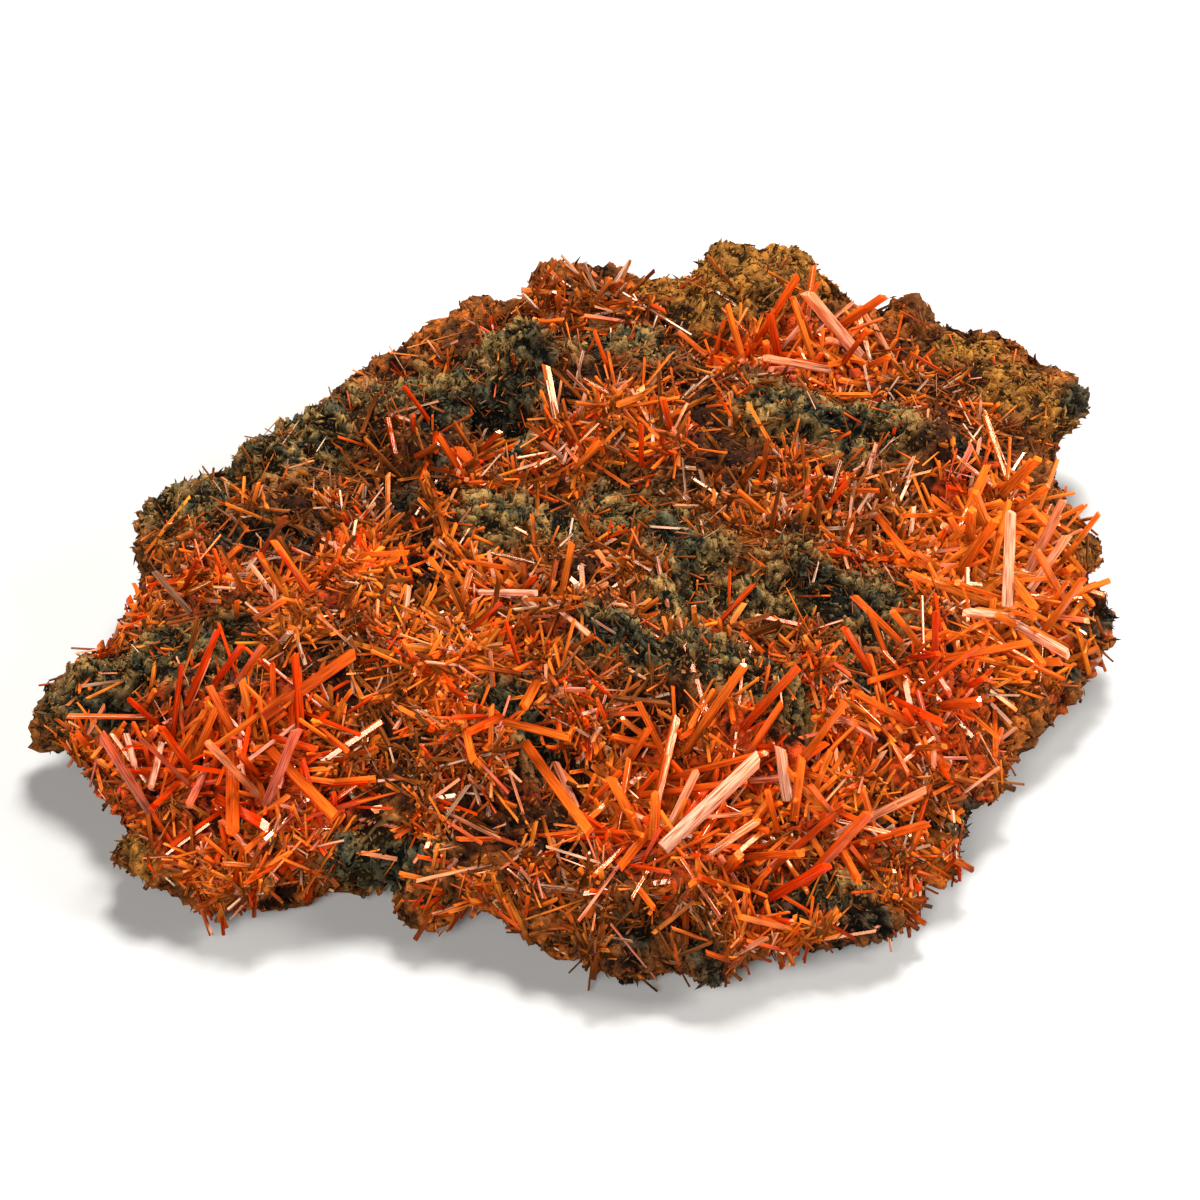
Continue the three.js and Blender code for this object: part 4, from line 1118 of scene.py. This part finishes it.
def needle_mesh(sowing, settings, rock, tree, random):
    """Needles strewn over a part of the rock, crossing each other, as one mesh."""
    count = int(sowing.count * settings.needles)
    places, facing = surface_sample(rock, count, random, sowing.weight)
    along = random.normal(size=(count, 3))
    along -= (along * facing).sum(axis=1)[:, None] * facing
    along /= np.linalg.norm(along, axis=1)[:, None]
    along += facing * random.triangular(NEEDLE_FALL, *sowing.rise, (count, 1))
    along /= np.linalg.norm(along, axis=1)[:, None]
    weights, wander = patch_weights(places), noise_at(places, DRIFT)
    # dust films the needles, in shaded hollows partly as painted shade
    clean = sowing.clean - NEEDLE_DUST * weights[:, DUST] - FILMED * (1 - grown_over(places))
    clean -= FILM_VARIES * random.random(count)
    shrink = 1 - EARTH_SHRINKS * weights[:, :DUST].max(axis=1)
    shrink *= np.where(facing[:, 2] < STEEP, STEEP_SHRINKS, 1)
    long = sowing.long * (settings.needle_long / MM) * shrink * varied(random, LONG_SPREAD, count)
    wide = sowing.wide * (settings.needle_wide / MM) * shrink**0.5 * varied(random, WIDE_SPREAD, count)
    feet = places + facing * random.uniform(*NEEDLE_LIFT, (count, 1)) - along * NEEDLE_BACK * long[:, None]
    tips = feet + along * long[:, None]
    keep = inside_box(tips) & inside_box(feet - wide[:, None] / 2) & reached(tree, tips, sowing.reach)
    rows = np.flatnonzero(keep & (over_rock(tree, tips) | (random.random(count) < STRAY)))
    copies = Copies()
    templates = needle_templates()
    for kind, template in enumerate(templates):
        some = rows[kind :: len(templates)]
        number = len(some)
        copies.add(
            template, feet[some], turns_along(along[some], random.uniform(0, math.pi, number)), wide[some],
            long[some],
            tone=random.uniform(*NEEDLE_TONES, number) + NEEDLE_DRIFT * wander[some],
            clean=clean[some] - DRIFT_FILM * wander[some].clip(0, 1),
            # painted highlight on a share of the needles
            pale=random.uniform(*NEEDLE_PALE, number) * (random.random(number) < PALE_SHARE),
        )
    return copies.mesh(sowing.name)


# ---- operators ------------------------------------------------------------------------------------------
class CROCOITE_OT_stage(bpy.types.Operator):
    """Lay the plain whitish floor and set up the light and the camera"""

    bl_idname = "crocoite.stage"
    bl_label = "Stage"

    def execute(self, context):
        settings = context.scene.crocoite_stage
        bm = bmesh.new()
        bmesh.ops.create_grid(bm, x_segments=1, y_segments=1, size=FLOOR_HALF)
        mesh = bpy.data.meshes.new("floor")
        bm.to_mesh(mesh)
        bm.free()
        floor = bpy.data.objects.new("floor", mesh)
        mesh.materials.append(plain_material("pale_floor", settings.floor))
        context.scene.collection.objects.link(floor)
        for light in LIGHTS:
            self.shine(context, light)
        world = bpy.data.worlds.new("studio")
        world.use_nodes = True
        sky = world.node_tree.nodes["Background"]
        sky.inputs["Color"].default_value = linear("#ffffff")
        sky.inputs["Strength"].default_value = SKY
        context.scene.world = world
        context.scene.view_settings.view_transform = "Standard"
        down = settings.elevation
        target = Vector(settings.target)
        data = bpy.data.cameras.new("camera")
        data.lens = settings.focal
        data.sensor_width = SENSOR
        data.clip_start, data.clip_end = CLIP
        camera = bpy.data.objects.new("camera", data)
        camera.location = target + settings.distance * Vector((0, -math.cos(down), math.sin(down)))
        camera.rotation_euler = (math.pi / 2 - down, 0, 0)
        context.scene.collection.objects.link(camera)
        context.scene.camera = camera
        return {"FINISHED"}

    @staticmethod
    def shine(context, light):
        """A soft square light that shines on the plate."""
        data = bpy.data.lights.new(light.name, "AREA")
        data.size = light.size
        data.energy = light.power
        made = bpy.data.objects.new(light.name, data)
        made.location = light.place
        made.rotation_euler = (-Vector(light.place)).to_track_quat("-Z", "Y").to_euler()
        context.scene.collection.objects.link(made)


class CROCOITE_OT_matrix(bpy.types.Operator):
    """Carve the rough rock in place of the solid plate"""

    bl_idname = "crocoite.matrix"
    bl_label = "Rock"

    def execute(self, context):
        settings = context.scene.crocoite_gossan
        new_object("gossan_plate", rock_mesh(settings), gossan_material(settings), "gossan", "matrix")
        return {"FINISHED"}


class CROCOITE_OT_crumbs(bpy.types.Operator):
    """Strew crumbs of earth and crust over the rock"""

    bl_idname = "crocoite.crumbs"
    bl_label = "Crumbs"

    def execute(self, context):
        settings = context.scene.crocoite_gossan
        self.strew("gossan_crumbs", settings.crumbs, settings.crumb / MM, SEED)
        self.strew("gossan_grains", settings.grains, settings.grain / MM, SEED + 1)
        return {"FINISHED"}

    @staticmethod
    def weight(points, facing):
        """How densely crumbs lie at each point."""
        kinds = patch_weights(points)
        upper = (facing[:, 2] > CRUMB_STEEP) * (points[:, 2] > CRUMB_LOW)
        earth = CRUMBS_ON_EARTH * kinds[:, :DUST].max(axis=1)
        return upper * (CRUMBS_EVERYWHERE + earth + CRUMBS_IN_DUST * kinds[:, DUST])

    def strew(self, name, count, width, seed):
        """One piece of crumbs about as wide as width in millimetres."""
        rock = bpy.data.objects["gossan_plate"].data
        random = np.random.default_rng(seed)
        places, facing = surface_sample(rock, count, random, self.weight)
        wide = width * varied(random, CRUMB_SPREAD, count)
        keep = inside_box(places + facing * wide[:, None]) & inside_box(places - wide[:, None])
        places, facing, wide = places[keep], facing[keep], wide[keep]
        places += facing * CRUMB_LIFT * wide[:, None]
        kept = len(places)
        turns = turns_along(facing, random.uniform(0, 2 * math.pi, kept))
        earth = patch_weights(places)[:, :DUST] + random.uniform(-CRUMB_JITTER, CRUMB_JITTER, (kept, DUST))
        # the alpha channel holds a painted shadow on crumbs that lie among the crystals
        crust = np.column_stack([earth.clip(0, 1), CRUMB_SHADOW * shadowed(places) * random.random(kept)])
        copies = Copies()
        for number in range(CRUMB_SHAPES):
            some = slice(number, None, CRUMB_SHAPES)
            copies.add(
                crumb_template(number), places[some], turns[some], wide[some], wide[some] * 0,
                # a random shade for each crumb, in the range of the rock's painted shade
                crust=crust[some], raised=random.uniform(-CRUMB_SHADE, CRUMB_SHADE, len(wide[some])),
            )
        new_object(name, copies.mesh(name), bpy.data.objects["gossan_plate"].active_material, "gossan")


class CROCOITE_OT_thickets(bpy.types.Operator):
    """Grow the thickets of thick prisms in place of the solid ones"""

    bl_idname = "crocoite.thickets"
    bl_label = "Thickets"

    def execute(self, context):
        settings = context.scene.crocoite_crystals
        material = crocoite_material(
            settings, "clear_crocoite", clear=0.25, roughness=0.14, lustre=0.16, glow=0.35, foot_shade=0.6,
            grooves=0.6,
        )
        rock = tree_of(bpy.data.objects["gossan_plate"].data)
        prisms = solid_prisms()
        templates = big_templates()
        for index, thicket in enumerate(THICKETS):
            random = np.random.default_rng(SEED + index)
            mesh = thicket_mesh(thicket, prisms, rock, random, templates)
            new_object(thicket.name + "_prisms", mesh, material, "crocoite", thicket.name)
        return {"FINISHED"}


class CROCOITE_OT_needles(bpy.types.Operator):
    """Sow the fine needles between the thickets"""

    bl_idname = "crocoite.needles"
    bl_label = "Needles"

    def execute(self, context):
        settings = context.scene.crocoite_crystals
        rock = bpy.data.objects["gossan_plate"].data
        tree = tree_of(rock)
        bright = crocoite_material(
            settings, "crocoite_needles", clear=0.0, roughness=0.22, lustre=0.1, glow=0.3, foot_shade=0.32
        )
        filmed = crocoite_material(
            settings, "crocoite_under_dust", clear=0.0, roughness=0.5, lustre=0.04, glow=0.12, foot_shade=0.25
        )
        for index, sowing in enumerate(SOWINGS):
            random = np.random.default_rng(NEEDLE_SEED + index)
            mesh = needle_mesh(sowing, settings, rock, tree, random)
            new_object(sowing.name, mesh, filmed if sowing.filmed else bright, "crocoite")
        return {"FINISHED"}


class CROCOITE_PT_panel(bpy.types.Panel):
    """Builds the pieces one by one"""

    bl_label = "Crocoite"
    bl_space_type = "VIEW_3D"
    bl_region_type = "UI"
    bl_category = "Crocoite"

    def draw(self, context):
        for operator in OPERATORS:
            self.layout.operator(operator.bl_idname)
        for group in ("crocoite_stage", "crocoite_gossan", "crocoite_crystals"):
            settings = getattr(context.scene, group)
            for key in settings.__annotations__:
                self.layout.prop(settings, key)


OPERATORS = (
    CROCOITE_OT_stage,
    CROCOITE_OT_matrix,
    CROCOITE_OT_crumbs,
    CROCOITE_OT_thickets,
    CROCOITE_OT_needles,
)
CLASSES = (GossanSettings, CrocoiteSettings, StageSettings, *OPERATORS, CROCOITE_PT_panel)


def register():
    """Adds the settings, the operators and the panel to Blender."""
    for cls in CLASSES:
        bpy.utils.register_class(cls)
    bpy.types.Scene.crocoite_gossan = PointerProperty(type=GossanSettings)
    bpy.types.Scene.crocoite_crystals = PointerProperty(type=CrocoiteSettings)
    bpy.types.Scene.crocoite_stage = PointerProperty(type=StageSettings)


def unregister():
    """Takes them away again."""
    del bpy.types.Scene.crocoite_stage, bpy.types.Scene.crocoite_crystals, bpy.types.Scene.crocoite_gossan
    for cls in reversed(CLASSES):
        bpy.utils.unregister_class(cls)


def main():
    """Builds the whole scene."""
    register()
    bpy.ops.crocoite.stage()
    bpy.ops.crocoite.matrix()
    bpy.ops.crocoite.crumbs()
    bpy.ops.crocoite.thickets()
    bpy.ops.crocoite.needles()


if __name__ == "__main__":
    main()
